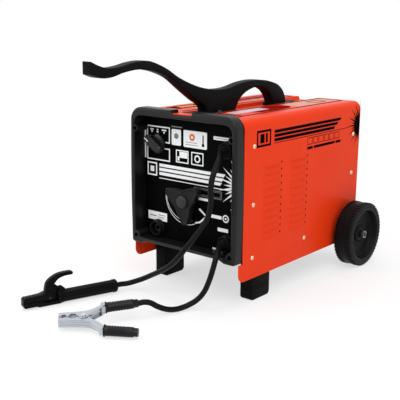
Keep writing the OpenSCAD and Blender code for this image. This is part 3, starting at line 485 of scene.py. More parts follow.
    @staticmethod
    def cut(piece: bpy.types.Object, cutter: bpy.types.Object) -> bpy.types.Object:
        """Cuts one solid out of another and removes the cutter."""
        Bench.modify(piece, "BOOLEAN", object=cutter, operation="DIFFERENCE", solver="EXACT")
        bpy.data.objects.remove(cutter)
        return piece

    @staticmethod
    def join(pieces: Sequence[bpy.types.Object]) -> bpy.types.Object:
        """Makes several meshes one object."""
        Bench.pick(*pieces)
        if len(pieces) > 1:
            bpy.ops.object.join()
        return bpy.context.object

    @staticmethod
    def copy(piece: bpy.types.Object, change: Matrix) -> bpy.types.Object:
        """Copies a piece with its own mesh, moved by a matrix."""
        twin = piece.copy()
        twin.data = piece.data.copy()
        bpy.context.collection.objects.link(twin)
        twin.data.transform(change)
        if change.determinant() < 0:
            twin.data.flip_normals()
        return twin

    @staticmethod
    def block(low: Vector, high: Vector) -> bpy.types.Object:
        """Adds a cube primitive between two corners."""
        Bench.clear()
        bpy.ops.mesh.primitive_cube_add(size=1, location=(low + high) / 2)
        piece = bpy.context.object
        piece.scale = high - low
        return Bench.settle(piece)

    @staticmethod
    def rod(start: Vector, end: Vector, radius: float, sides: int = 24) -> bpy.types.Object:
        """Adds a cylinder primitive between two points, with a radius in millimetres."""
        Bench.clear()
        span = end - start
        bpy.ops.mesh.primitive_cylinder_add(vertices=sides, radius=radius * MM, depth=span.length,
                                            location=(start + end) / 2)
        piece = bpy.context.object
        piece.rotation_euler = span.to_track_quat("Z", "Y").to_euler()
        return Bench.settle(piece)

    @staticmethod
    def dress(piece: bpy.types.Object, name: str, finish: Finish, body: str, slot: str,
              smooth: float = 35, stands_for: Iterable[str] = ()) -> bpy.types.Object:
        """Names a finished piece, gives it its finish and lets it ride on its body.

        Args:
            piece: The finished mesh.
            name: The piece's name.
            finish: Its surface finish.
            body: The body that it moves with.
            slot: The record's material slot; not used.
            smooth: The angle in degrees under which edges are shaded smooth.
            stands_for: The CAD nodes that the piece replaces.

        Returns:
            The piece.
        """
        Bench.settle(piece)
        piece.name = piece.data.name = name
        piece.data.materials.clear()
        piece.data.materials.append(finish.build())
        bpy.ops.object.shade_smooth_by_angle(angle=math.radians(smooth))
        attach(piece, body)
        if stands_for:
            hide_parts(*stands_for)
        LOG.info("%s: %d faces", name, len(piece.data.polygons))
        return piece


def polar(centre: Point2, radius: float, turn: float) -> Point2:
    """Gives the point at a distance from a centre, its direction in degrees."""
    angle = math.radians(turn)
    return centre[0] + radius * math.cos(angle), centre[1] + radius * math.sin(angle)


def arc(centre: Point2, radius: float, start: float, end: float, steps: int) -> list[Point2]:
    """Gives points along an arc, its angles in degrees."""
    return [polar(centre, radius, start + (end - start) * i / steps) for i in range(steps + 1)]


def about(pivot: Vector, turn: float, axis: str) -> Matrix:
    """Gives the turn round an axis through a point, in degrees."""
    return (Matrix.Translation(pivot) @ Matrix.Rotation(math.radians(turn), 4, axis)
            @ Matrix.Translation(-pivot))


def hexagon(centre: Point2, radius: float) -> list[Point2]:
    """Gives a regular hexagon's corners."""
    return arc(centre, radius, 0, 300, 5)


def eased(points: Sequence[Point2], radius: float, steps: int = 4) -> list[Point2]:
    """Rounds the corners of a closed outline.

    Args:
        points: The outline's corners.
        radius: How far each rounding reaches from its corner, at most.
        steps: Facets in each rounding.

    Returns:
        The outline with its roundings.
    """
    result = []
    for i, corner in enumerate(points):
        here = Vector(corner)
        back = Vector(points[i - 1]) - here
        ahead = Vector(points[(i + 1) % len(points)]) - here
        back = back.normalized() * min(radius, back.length / 2.1)
        ahead = ahead.normalized() * min(radius, ahead.length / 2.1)
        for t in (s / steps for s in range(steps + 1)):
            result.append(tuple(here + back * (1 - t) ** 2 + ahead * t ** 2))
    return result


def box_outline(u0: float, u1: float, v0: float, v1: float, radius: float = 0) -> list[Point2]:
    """Gives a rectangle's outline with rounded corners."""
    corners = [(u0, v0), (u1, v0), (u1, v1), (u0, v1)]
    return eased(corners, radius) if radius else corners


def spline(points: Sequence[Point2], steps: int) -> list[Point2]:
    """Runs a smooth curve through points, with that many steps between two of them."""
    curve = []
    for i in range(len(points) - 1):
        a, b, c, d = (Vector(points[min(max(i + k, 0), len(points) - 1)]) for k in (-1, 0, 1, 2))
        for t in (s / steps for s in range(steps)):
            curve.append(tuple(0.5 * (2 * b + (c - a) * t + (2 * a - 5 * b + 4 * c - d) * t ** 2
                                      + (3 * b - a - 3 * c + d) * t ** 3)))
    return curve + [tuple(points[-1])]


def thinned(curve: Sequence[Point2], gap: float) -> list[Point2]:
    """Drops a curve's points that lie within gap of either of its ends, but keeps the ends."""
    first, last = Vector(curve[0]), Vector(curve[-1])
    middle = [p for p in curve[1:-1] if min((Vector(p) - first).length, (Vector(p) - last).length) > gap]
    return [curve[0], *middle, curve[-1]]


# ---------------------------------------------------------------- camera, floor and light


@dataclass
class Studio:
    """The pale floor, the soft lamps and the camera."""

    azimuth: float = 39.86
    elevation: float = 13.57
    roll: float = -0.32
    lens: float = 69.78
    ambient: float = 0.60
    fade: dict[str, float] = field(default_factory=lambda: {
        "From Min": 0.35, "From Max": 1.1, "To Min": 0.62, "To Max": 1.0})
    place: Vector = field(default_factory=lambda: at(945.6, -1073.8, 537.5))

    def camera(self) -> None:
        """Adds the camera."""
        a, e, roll = (math.radians(v) for v in (self.azimuth, self.elevation, self.roll))
        back = Vector((math.sin(a) * math.cos(e), -math.cos(a) * math.cos(e), math.sin(e)))
        right = Vector((math.cos(a), math.sin(a), 0))
        up = back.cross(right)
        side = math.cos(roll) * right - math.sin(roll) * up
        rise = math.sin(roll) * right + math.cos(roll) * up
        bpy.ops.object.camera_add()
        camera = bpy.context.object
        camera.name = "camera"
        turn = Matrix((side, rise, back)).transposed().to_4x4()
        camera.matrix_world = Matrix.Translation(self.place) @ turn
        camera.data.lens = self.lens
        camera.data.sensor_width = 36
        camera.data.clip_start = 0.05
        bpy.context.scene.camera = camera

    def lamp(self, name: str, place: Vector, aim: Vector, size: float, power: float) -> None:
        """Adds one square soft lamp."""
        bpy.ops.object.light_add(type="AREA", location=place)
        lamp = bpy.context.object
        lamp.name = name
        lamp.data.size = size
        lamp.data.energy = power
        lamp.rotation_euler = (place - aim).to_track_quat("Z", "Y").to_euler()

    @staticmethod
    def seen_straight(tree: bpy.types.NodeTree) -> bpy.types.NodeSocket:
        """Adds a mask of the camera's rays and of mirrored and refracted ones, and returns its output."""
        path = add(tree, "LightPath")
        mask = path.outputs["Is Camera Ray"]
        for label in ("Is Glossy Ray", "Is Transmission Ray"):
            wider = add(tree, "Math", operation="MAXIMUM")
            tree.links.new(mask, wider.inputs[0])
            wire(tree, (path, label, wider, 1))
            mask = wider.outputs["Value"]
        return mask

    def world(self) -> None:
        """Sets a plain pale surrounding that shows as white behind the object and in its gloss."""
        world = bpy.data.worlds.new("pale_room")
        bpy.context.scene.world = world
        world.use_nodes = True
        tree = world.node_tree
        strength = add(tree, "MapRange", {"To Min": self.ambient, "To Max": 1.0})
        sky = tree.nodes["Background"]
        fill(sky, {"Color": (1, 1, 1, 1)})
        tree.links.new(self.seen_straight(tree), strength.inputs["Value"])
        wire(tree, (strength, "Result", sky, "Strength"))

    def floor(self) -> None:
        """Adds the pale floor, which fades into the white surrounding away from the object."""
        Bench.clear()
        bpy.ops.mesh.primitive_plane_add(size=60)
        floor = bpy.context.object
        floor.name = "floor"
        paint = bpy.data.materials.new("pale_floor")
        paint.use_nodes = True
        tree = paint.node_tree
        shader = tree.nodes["Principled BSDF"]
        fill(shader, {"Base Color": (0.97, 0.97, 0.97, 1), "Roughness": 0.9, "Specular IOR Level": 0.0})
        distance = add(tree, "VectorMath", operation="LENGTH")
        fade = add(tree, "MapRange", self.fade, interpolation_type="SMOOTHSTEP")
        share = add(tree, "Math", operation="MULTIPLY")
        mix = add(tree, "MixShader")
        tree.links.new(self.seen_straight(tree), share.inputs[1])
        wire(tree, (add(tree, "TexCoord"), "Object", distance, 0), (distance, "Value", fade, "Value"),
             (fade, "Result", share, 0), (share, "Value", mix, "Fac"), (shader, "BSDF", mix, 1),
             (add(tree, "Emission"), "Emission", mix, 2),
             (mix, "Shader", tree.nodes["Material Output"], "Surface"))
        floor.data.materials.append(paint)

    def build(self) -> None:
        """Builds the whole studio."""
        bpy.context.scene.view_settings.view_transform = "Standard"
        self.camera()
        self.floor()
        self.world()
        aim = Vector((0, 0, 0.2))
        self.lamp("key_lamp", Vector((1.6, -1.5, 2.2)), aim, 1.6, 34)
        self.lamp("top_lamp", Vector((-0.3, 0.2, 2.6)), aim, 2.4, 26)
        self.lamp("front_lamp", Vector((-1.6, -2.0, 1.4)), aim, 1.6, 16)


# ---------------------------------------------------------------- cords


@dataclass
class WeldingCable:
    """A rubber-sheathed welding cable, laid from its plug to its tool."""

    name: str
    route: tuple[tuple[float, float, float], ...]
    length: float
    diameter: float = 0.0105

    def lay(self) -> bpy.types.Object:
        """Lays the cable as one smooth curve."""
        Bench.clear()
        bpy.ops.curve.primitive_bezier_curve_add()
        cable = bpy.context.object
        cable.name = f"{self.name}_run"
        curve = cable.data
        curve.splines.clear()
        line = curve.splines.new("BEZIER")
        line.bezier_points.add(len(self.route) - 1)
        for knot, (x, y, z) in zip(line.bezier_points, self.route):
            knot.co = (x, BEZEL_FRONT + y, z)
            knot.handle_left_type = knot.handle_right_type = "AUTO"
        curve.dimensions = "3D"
        curve.resolution_u = 8
        curve.bevel_depth = self.diameter / 2
        curve.bevel_resolution = 5
        curve.use_fill_caps = True
        curve.materials.append(CABLE.build())
        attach(cable, "case")
        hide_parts(self.name)
        return cable

    def declare(self) -> None:
        """Logs that the cable is laid."""
        LOG.info("%s laid", self.name)


ELECTRODE_CABLE = WeldingCable("electrode_cable", (
    (0.090, 0.024, 0.294), (0.090, 0.018, 0.294), (0.090, 0.012, 0.294), (0.095, 0.002, 0.292),
    (0.102, -0.009, 0.286), (0.106, -0.024, 0.273), (0.106, -0.035, 0.254), (0.106, -0.039, 0.231),
    (0.104, -0.036, 0.208), (0.097, -0.033, 0.186), (0.085, -0.032, 0.165), (0.070, -0.033, 0.145),
    (0.055, -0.034, 0.126), (0.039, -0.035, 0.107), (0.023, -0.034, 0.089), (0.006, -0.032, 0.073),
    (-0.014, -0.030, 0.059), (-0.034, -0.027, 0.047), (-0.054, -0.025, 0.036), (-0.074, -0.027, 0.025),
    (-0.091, -0.034, 0.017), (-0.102, -0.044, 0.013), (-0.108, -0.055, 0.013), (-0.111, -0.064, 0.013),
    (-0.114, -0.073, 0.013)), 0.457)
GROUND_CABLE = WeldingCable("ground_cable", (
    (0.090, 0.024, 0.117), (0.090, 0.018, 0.117), (0.090, 0.012, 0.117), (0.094, 0.001, 0.114),
    (0.098, -0.010, 0.105), (0.099, -0.018, 0.090), (0.096, -0.022, 0.072), (0.090, -0.024, 0.053),
    (0.082, -0.027, 0.034), (0.072, -0.034, 0.019), (0.062, -0.045, 0.010), (0.055, -0.059, 0.006),
    (0.050, -0.074, 0.006), (0.044, -0.090, 0.010), (0.036, -0.105, 0.018), (0.028, -0.114, 0.025),
    (0.021, -0.122, 0.027), (0.014, -0.132, 0.026), (0.011, -0.136, 0.026)), 0.263)


# ---------------------------------------------------------------- printed marks


@dataclass
class Print:
    """Ink laid on one flat face, gathered by colour and raised a little.

    Attributes:
        name: The start of the printed pieces' names.
        slot: The record's material slot of the face.
        face: Turns a place on the face, in millimetres, into the frame's metres.
        out: The way in which the face looks.
        lift: The thickness of one layer of ink in millimetres.
        marks: The outlines laid so far, by ink and layer.
    """

    name: str
    slot: str
    face: Callable[[float, float], Vector]
    out: Vector
    lift: float = 0.15
    marks: dict[tuple[str, int], tuple[Finish, list[bpy.types.Object]]] = field(default_factory=dict)

    def patch(self, ink: Finish, outline: Sequence[Point2], layer: int = 1) -> None:
        """Lays one filled outline of ink."""
        ring = Bench.ring([self.face(u, v) for u, v in outline])
        self.marks.setdefault((ink.name, layer), (ink, []))[1].append(ring)

    def bar(self, ink: Finish, u: Point2, v: Point2, radius: float = 0, layer: int = 1) -> None:
        """Lays a rectangle from u[0] to u[1] and from v[0] to v[1]."""
        self.patch(ink, box_outline(u[0], u[1], v[0], v[1], radius), layer)

    def bars(self, ink: Finish, rows: Iterable[tuple[float, ...]], layer: int = 1) -> None:
        """Lays rectangles; each row is u0, u1, v0, v1 and perhaps a corner radius."""
        for row in rows:
            self.patch(ink, box_outline(*row), layer)

    def frame(self, ink: Finish, u: Point2, v: Point2, width: float, layer: int = 1) -> None:
        """Lays the four sides of a rectangle."""
        self.bar(ink, u, (v[0], v[0] + width), layer=layer)
        self.bar(ink, u, (v[1] - width, v[1]), layer=layer)
        self.bar(ink, (u[0], u[0] + width), (v[0] + width, v[1] - width), layer=layer)
        self.bar(ink, (u[1] - width, u[1]), (v[0] + width, v[1] - width), layer=layer)

    def disc(self, ink: Finish, centre: Point2, radius: float, layer: int = 1) -> None:
        """Lays a filled circle."""
        self.patch(ink, arc(centre, radius, 0, 360, 24)[:-1], layer)

    def sweep(self, ink: Finish, centre: Point2, inner: Point2, outer: Point2, turn: Point2) -> None:
        """Lays a curved band whose two edges may run apart.

        Args:
            ink: The ink.
            centre: The middle of the curve.
            inner: The inner edge's radius at the start and at the end.
            outer: The outer edge's radius at the start and at the end.
            turn: The angles in degrees at which the band starts and ends.
        """
        steps = 30
        inside, outside = ([polar(centre, start + (end - start) * i / steps,
                                  turn[0] + (turn[1] - turn[0]) * i / steps) for i in range(steps + 1)]
                           for start, end in (inner, outer))
        self.patch(ink, inside + outside[::-1])

    def star(self, ink: Finish, centre: Point2, reach: Point2, waist: float, turn: Point2, rays: int,
             layer: int = 1) -> None:
        """Lays one solid fan of pointed rays, longer and shorter in turn.

        Args:
            ink: The ink.
            centre: The point that the rays fan out from.
            reach: The lengths of the long and the short rays.
            waist: How far from the centre the valleys between rays lie.
            turn: The angles in degrees of the first and the last ray.
            rays: The number of rays.
            layer: The layer of ink.
        """
        step = (turn[1] - turn[0]) / (rays - 1)
        outline = [centre]
        for i in range(rays):
            outline.append(polar(centre, reach[i % 2], turn[0] + i * step))
            outline.append(polar(centre, waist, turn[0] + (i + 0.5) * step))
        self.patch(ink, outline[:-1], layer)

    def finish(self) -> None:
        """Raises every mark and gives it its ink."""
        for (label, layer), (ink, rings) in self.marks.items():
            piece = Bench.join(rings)
            Bench.edit(piece)
            bpy.ops.mesh.extrude_region_move(
                TRANSFORM_OT_translate={"value": self.out * self.lift * layer * MM})
            bpy.ops.mesh.select_all(action="SELECT")
            bpy.ops.mesh.normals_make_consistent(inside=False)
            Bench.close()
            Bench.dress(piece, f"{self.name}_{label}_{layer}", ink, "case", self.slot)


# ---------------------------------------------------------------- case


@dataclass
class Case:
    """The sheet-metal case with its printed sides and top."""

    side_x: float = 132.5
    top: float = 353
    louvre_middles: Point2 = (112, 203)
    louvre_half: float = 29
    louvre_low: float = 122
    louvre_pitch: float = 13.8
    louvre_rows: int = 11
    lip: tuple[float, float, float] = (23.6, 352.9, 1.4)

    def print_side(self, side: int) -> None:
        """Prints one side sheet with plain stripes and painted shade behind each louvre; side is 1 for the
        right and -1 for the left.
        """
        ink = Print(f"side_print_{SIDE_NAMES[side]}", "orange_paint",
                    lambda y, z: at(side * self.side_x, y, z), Vector((side, 0, 0)))
        ink.frame(BLACK_INK, (60, 105), (299, 330), 4.2)
        ink.bars(BLACK_INK, ((71, 84, 306, 323), (88, 94, 306, 323), (116, 396, 300.6, 301.8)))
        for low, end in ((320.4, 362), (312.4, 350), (304.4, 338)):
            ink.patch(BLACK_INK, [(116, low), (end - 5, low), (end, low + 5.8), (116, low + 5.8)])
        for y in range(232, 358, 21):
            ink.frame(BLACK_INK, (y, y + 18), (283.5, 297.5), 1.1)
        ink.bars(BLACK_INK, ((y, end, 274, 279.4) for y, end in ((232, 252), (256, 338), (342, 362))))
        ink.star(BLACK_INK, (442, 303), (52, 38), 22, (92, 268), 17)
        # Painted shade: a dark patch behind each louvre's rear end, where only shade falls.
        for middle in self.louvre_middles:
            y = middle + self.louvre_half + 0.6
            lows = (self.louvre_low + i * self.louvre_pitch for i in range(self.louvre_rows))
            ink.bars(LOUVRE_SHADE_PAINT, ((y, y + 3.0, z + 0.4, z + 4.6, 1.2) for z in lows))
        ink.finish()

    def print_top(self) -> None:
        """Prints the two raised bands of the top with plain strips."""
        ink = Print("top_print", "orange_paint", lambda x, y: at(x, y, self.top), Vector((0, 0, 1)))
        ink.bars(BLACK_INK, ((x, x + 5, 50, 432) for x in (31, 90, -40, -98)))
        ink.bars(BLACK_INK, ((36, 90, y, y + 5) for y in (50, 68, 427)))
        ink.bars(PALE_INK, ((40, 66, 84, 192),))
        ink.patch(RED_INK, [(68, 124), (84, 138), (87, 190), (84, 240), (68, 264), (42, 254), (38, 198),
                            (67, 194)])
        ink.bars(SALMON_INK, ((39, 88, 268, 426),))
        ink.frame(BLACK_INK, (50, 76), (350, 394), 3.4, 2)
        ink.bars(BLACK_INK, ((-93, -40, 427, 432), (-86, -76, 190, 400), (-71, -66, 190, 400),
                             (-101, -68, 74, 162)))
        ink.bars(ORANGE_INK, ((-94, -75, 92, 144),), 2)
        ink.finish()

    def channel_lip(self) -> None:
        """Models the front lip of the top channel, which lies in the bezel's notch."""
        half, low, thick = self.lip
        lip = Bench.flat([(-half, 24.6), (-half, 4.4), (-half + 3, 2.2), (half - 3, 2.2), (half, 4.4),
                          (half, 24.6)], low, thick)
        Bench.bevel(lip, 0.4, 2, 40)
        Bench.dress(lip, "channel_lip", ORANGE, "case", "orange_paint")

    def build(self) -> None:
        """Prints the sides and the top and adds the channel's lip."""
        self.print_side(1)
        self.print_side(-1)
        self.print_top()
        self.channel_lip()


@dataclass
class FrontBezel:
    """The moulded bezel round the control panel, with its four bored bosses."""

    half: float = 130.6
    bulge: float = 1.6
    low: float = 91
    drop: float = 5
    top: float = 360
    depth: float = 24
    back: float = 31
    opening: tuple[float, float, float] = (121, 98, 344)
    bosses: tuple[tuple[float, float, float], ...] = ((119, 101, 10), (119, 318, 7))
    rounding: float = 4.5
    corner: float = 6
    bore: float = 4.3

    def outline(self) -> list[Point2]:
        """Gives the outer outline, with the notch for the top channel and the dropped corners."""
        half, low, high, r = self.half, self.low - self.drop, self.top, self.corner
        flank = [(half + self.bulge * math.sin(math.pi * i / 12), low + 10 + (high - 36 - low) * i / 12)
                 for i in range(1, 12)]
        left = [(-half + 38, self.low), (-half + 26, low), *arc((-half + r, low + r), r, 270, 180, 8),
                *((-x, z) for x, z in flank), *arc((-half + 26, high - 26), 26, 180, 90, 12),
                (-27, high), (-24, high - 7)]
        right = [(24, high - 7), (27, high), *arc((half - 26, high - 26), 26, 90, 0, 12), *flank[::-1],
                 *arc((half - r, low + r), r, 0, -90, 8), (half - 26, low), (half - 38, self.low)]
        return left + right

    def mouth(self, grow: float) -> list[Point2]:
        """Gives the opening's outline, widened by grow."""
        half, low, high = self.opening
        return eased([(-half - grow, low - grow), (half + grow, low - grow),
                      (half + grow, high + grow), (-half - grow, high + grow)], 20, 8)

    def build(self) -> bpy.types.Object:
        """Models the bezel."""
        body = Bench.upright(self.outline(), 0, self.depth)
        front = BEZEL_FRONT + 0.00001
        Bench.round_edges(body, lambda a, b: a.y < front and b.y < front, self.rounding, 5)
        Bench.cut(body, Bench.upright(self.mouth(0), -2, 30))
        half, low, high = self.opening
        limit = (half * MM + 0.00002, (low - 0.02) * MM, (high + 0.02) * MM)
        Bench.round_edges(body, lambda a, b: all(
            p.y < front and abs(p.x) < limit[0] and limit[1] < p.z < limit[2] for p in (a, b)), 2.6, 4)
        sleeve = Bench.upright(self.mouth(2.6), self.depth - 0.5, self.back - self.depth + 0.5)
        Bench.cut(sleeve, Bench.upright(self.mouth(0), self.depth - 3, 20))
        bosses = [(side * x, z, r) for side in (-1, 1) for x, z, r in self.bosses]
        for x, z, _ in bosses:
            Bench.cut(body, Bench.rod(at(x, -2, z), at(x, 12, z), self.bore, 32))
        posts = [Bench.lathe([(self.bore, 1.2), (5, 0.5), (r - 2, 0.5), (r - 0.6, 1.1), (r, 2.5),
                              (r, self.back), (2.3, self.back), (2.3, 12), (self.bore, 12)],
                             at(x, 0, z), Axis.Y, 40) for x, z, r in bosses]
        return Bench.dress(Bench.join([body, sleeve, *posts]), "bezel_moulding", BEZEL, "case",
                           "bezel_plastic", 40, ["front_bezel"])


@dataclass
class ControlPanel:
    """The marks printed on the recessed panel."""

    depth: float = 31
    dial: Point2 = (-13, 188)

    def cards(self, ink: Print) -> None:
        """Prints the cards and boxes of the upper left."""
        ink.bars(WHITE_INK, ((-121, -117, 256, 323), (-49, -25, 289, 320, 3),
                             (-18.6, 39.3, 288.5, 321, 3)))
        for low, high in ((290, 322), (254, 280)):
            ink.frame(WHITE_INK, (-114.5, -53.5), (low, high), 2.6)
        ink.bars(PANEL, ((-112, -72, 289.4, 293.4), (-112, -76, 276.6, 280.8), (28.6, 31.4, 297, 315, 1)), 2)
        for x, wide in ((-101, 9), (-86, 4), (-69, 12)):
            ink.bar(WHITE_INK, (x - wide / 2, x + wide / 2), (313.5, 316))
            ink.patch(WHITE_INK, [(x - 3, 312), (x + 3, 312), (x, 307.5)])
        ink.bars(GREY_INK, ((-50, -22, 323.5, 326),))
        ink.disc(GREY_INK, (-37, 307), 5.6, 2)
        ink.disc(ORANGE_INK, (3, 308.5), 7, 2)
        ink.disc(WHITE_INK, (3, 308.5), 2.6, 3)
        ink.bars(GREY_INK, ((-12, 16, 297.8, 298.8), (-14, 18, 293.2, 294.2)), 2)
        ink.disc(PANEL, (30, 296), 3.2, 2)

    def squares(self, ink: Print) -> None:
        """Prints the two squares under the cards."""
        for left, right in ((-38, -6), (1, 31)):
            ink.frame(WHITE_INK, (left, right), (256, 281), 2.2)
        ink.bars(WHITE_INK, ((-29, -9, 266, 278), (-34, -29, 260, 268)))
        ink.disc(WHITE_INK, (16, 268.5), 7.4)
        ink.disc(PANEL, (16, 268.5), 4.4, 2)

    def stripes(self, ink: Print) -> None:
        """Prints the plain stripes across the middle and the rays at the right edge."""
        ink.frame(WHITE_INK, (-114, -88), (222, 249), 3)
        ink.bars(WHITE_INK, ((-106, -96, 230, 241), (-82, 96, 218, 219.6), (14, 44, 190, 195)))
        for z, end in ((242, 80), (233.5, 76), (225, 72)):
            ink.patch(WHITE_INK, [(-82, z), (end, z), (end + 4, z + 6), (-82, z + 6)])
        ink.frame(GREY_INK, (8, 76), (198, 214), 1)
        ink.frame(GREY_INK, (11, 73), (200.6, 211.4), 0.8)
        ink.star(WHITE_INK, (120.4, 228), (54, 40), 22, (91, 269), 15, 2)
        ink.bars(WHITE_INK, ((114, 120.4, 204, 264),), 3)

    def dial_marks(self, ink: Print) -> None:
        """Prints the widening current scale round the knob and its arrowhead."""
        ink.sweep(WHITE_INK, self.dial, (50.4, 52.4), (51.8, 53.8), (166, 296))
        ink.sweep(WHITE_INK, self.dial, (49.6, 44.4), (50.6, 45.6), (170, 292))
        ink.patch(WHITE_INK, [(20, 171), (23, 174), (42, 160), (24, 144.5), (12, 141), (11, 144),
                              (22.4, 147.6), (37, 160)])

    def labels(self, ink: Print) -> None:
        """Prints the blank labels by the sockets."""
        ink.bars(WHITE_INK, ((55, 100, 310, 316.5, 0.8), (44, 76, 160.5, 167), (-113, -62, 131, 148.5, 1),
                             (67, 92, 137, 144, 1.4), (55, 65, 99, 102.5, 0.8), (74, 80, 98.6, 101.6, 0.8)))
        ink.bars(GREY_INK, ((58, 97, 312.8, 313.8), (-108, -90, 138.5, 140.5), (-86, -67, 142, 143.4),
                            (-86, -70, 137, 138.4)), 2)
        for label, radius, layer in ((WHITE_INK, 7.5, 1), (PANEL, 5, 2), (WHITE_INK, 2.2, 3)):
            ink.disc(label, (86, 163.5), radius, layer)

    def build(self) -> None:
        """Prints the whole panel."""
        ink = Print("panel_print", "panel_black", lambda x, z: at(x, self.depth, z), Vector((0, -1, 0)))
        for step in (self.cards, self.squares, self.stripes, self.dial_marks, self.labels):
            step(ink)
        ink.finish()


# ---------------------------------------------------------------- handle, feet and wheels


@dataclass
class TowHandle:
    """The moulded tow handle with its two foot plates and four screws."""

    width: float = 24
    seat: float = 346
    plate: float = 6
    upper: tuple[Point2, ...] = (
        (-226, 115), (-213, 109.5), (-197, 104.5), (-180, 103), (-157, 105), (-132, 109.5), (-105, 111.5),
        (-82, 108.5), (-47, 95.5), (-11, 76.5), (37, 59), (75, 51), (105, 48.5), (138, 50), (175, 56.5),
        (212, 59.5), (250, 57.5), (280, 52), (304, 44), (322, 30), (331, 12), (334, 0))
    arch: tuple[Point2, ...] = (
        (286, 0), (279, 18), (260, 36), (229, 45), (194, 39), (171, 27), (158, 12), (153, 0))
    under: tuple[Point2, ...] = (
        (64, 0), (60, 18), (33, 34), (-1, 55.7), (-33, 76.7), (-64, 88.5), (-91, 94.5), (-120, 97),
        (-153, 93.5), (-177, 88), (-197, 86.7), (-212, 89), (-226, 94))
    plates: tuple[Point2, ...] = ((30, 150), (290, 372))
    bolt_x: float = 17
    bolt_y: tuple[float, ...] = (95, 348)

    def beam(self) -> bpy.types.Object:
        """Models the curved beam with rounded edges and a shallow groove behind its tip."""
        outline = [p for part in (self.upper, self.arch, self.under) for p in thinned(spline(part, 5), 4.2)]
        beam = Bench.slab([at(-self.width / 2, y, self.seat + z) for y, z in outline],
                          Vector((self.width * MM, 0, 0)))
        half = self.width / 2 * MM - 0.00001
        Bench.round_edges(beam, lambda a, b: abs(a.x) > half and abs(b.x) > half and a.x * b.x > 0, 2.6, 3)
        return beam

    def foot_plate(self, ends: Point2) -> bpy.types.Object:
        """Models one foot plate between two places along the top."""
        plate = Bench.flat(box_outline(-22, 22, *ends, 6), self.seat, self.plate)
        high = (self.seat + self.plate) * MM - 0.00001
        return Bench.round_edges(plate, lambda a, b: a.z > high and b.z > high, 1.8, 3)

    def screws(self) -> bpy.types.Object:
        """Models the four screws with hexagonal sockets."""
        z = self.seat + self.plate
        first = Bench.lathe([(0, 0), (4.5, 0), (4.5, 2.2), (3.9, 3), (0, 3)], at(0, 0, z), Axis.Z, 24)
        Bench.cut(first, Bench.flat(hexagon((0, 0), 2.4), z + 1.2, 4))
        screws = [Bench.copy(first, Matrix.Translation(at(s * self.bolt_x, y, 0) - at(0, 0, 0)))
                  for s in (-1, 1) for y in self.bolt_y]
        bpy.data.objects.remove(first)
        return Bench.join(screws)

    def build(self) -> None:
        """Models the handle."""
        parts = [self.beam()] + [self.foot_plate(ends) for ends in self.plates]
        Bench.dress(Bench.join(parts), "handle_moulding", HANDLE, "case", "handle_plastic", 30, ["handle"])
        Bench.dress(self.screws(), "handle_screws", DARK_ZINC, "case", "zinc_steel", 35, ["handle_bolts"])


@dataclass
class FrontFoot:
    """A front foot with rounded edges and two grooves round it."""

    side: int
    middle: float = 111
    width: float = 28
    start: float = 64
    length: float = 60
    height: float = 86.5
    sole: float = 8
    grooves: Point2 = (22, 27)

    def build(self) -> None:
        """Models the foot."""
        name, r, y0, y1 = SIDE_NAMES[self.side], self.sole, self.start, self.start + self.length
        outline = [*arc((y0 + r, r), r, 180, 270, 8), *arc((y1 - r, r), r, 270, 360, 8),
                   (y1, self.height), (y0, self.height)]
        x0 = self.side * self.middle - self.width / 2
        x1 = x0 + self.width
        foot = Bench.slab([at(x0, y, z) for y, z in outline], Vector((self.width * MM, 0, 0)))
        Bench.bevel(foot, 2.4, 3, 50)
        for z in self.grooves:
            ring = Bench.flat(box_outline(x0 - 2, x1 + 2, y0 - 2, y1 + 2), z, 1.4)
            Bench.cut(ring, Bench.flat(box_outline(x0 + 0.8, x1 - 0.8, y0 + 0.8, y1 - 0.8, 2.4), z - 2, 6))
            Bench.cut(foot, ring)
        Bench.dress(foot, f"foot_block_{name}", FOOT, "case", "foot_rubber", 35, [f"foot_{name}"])


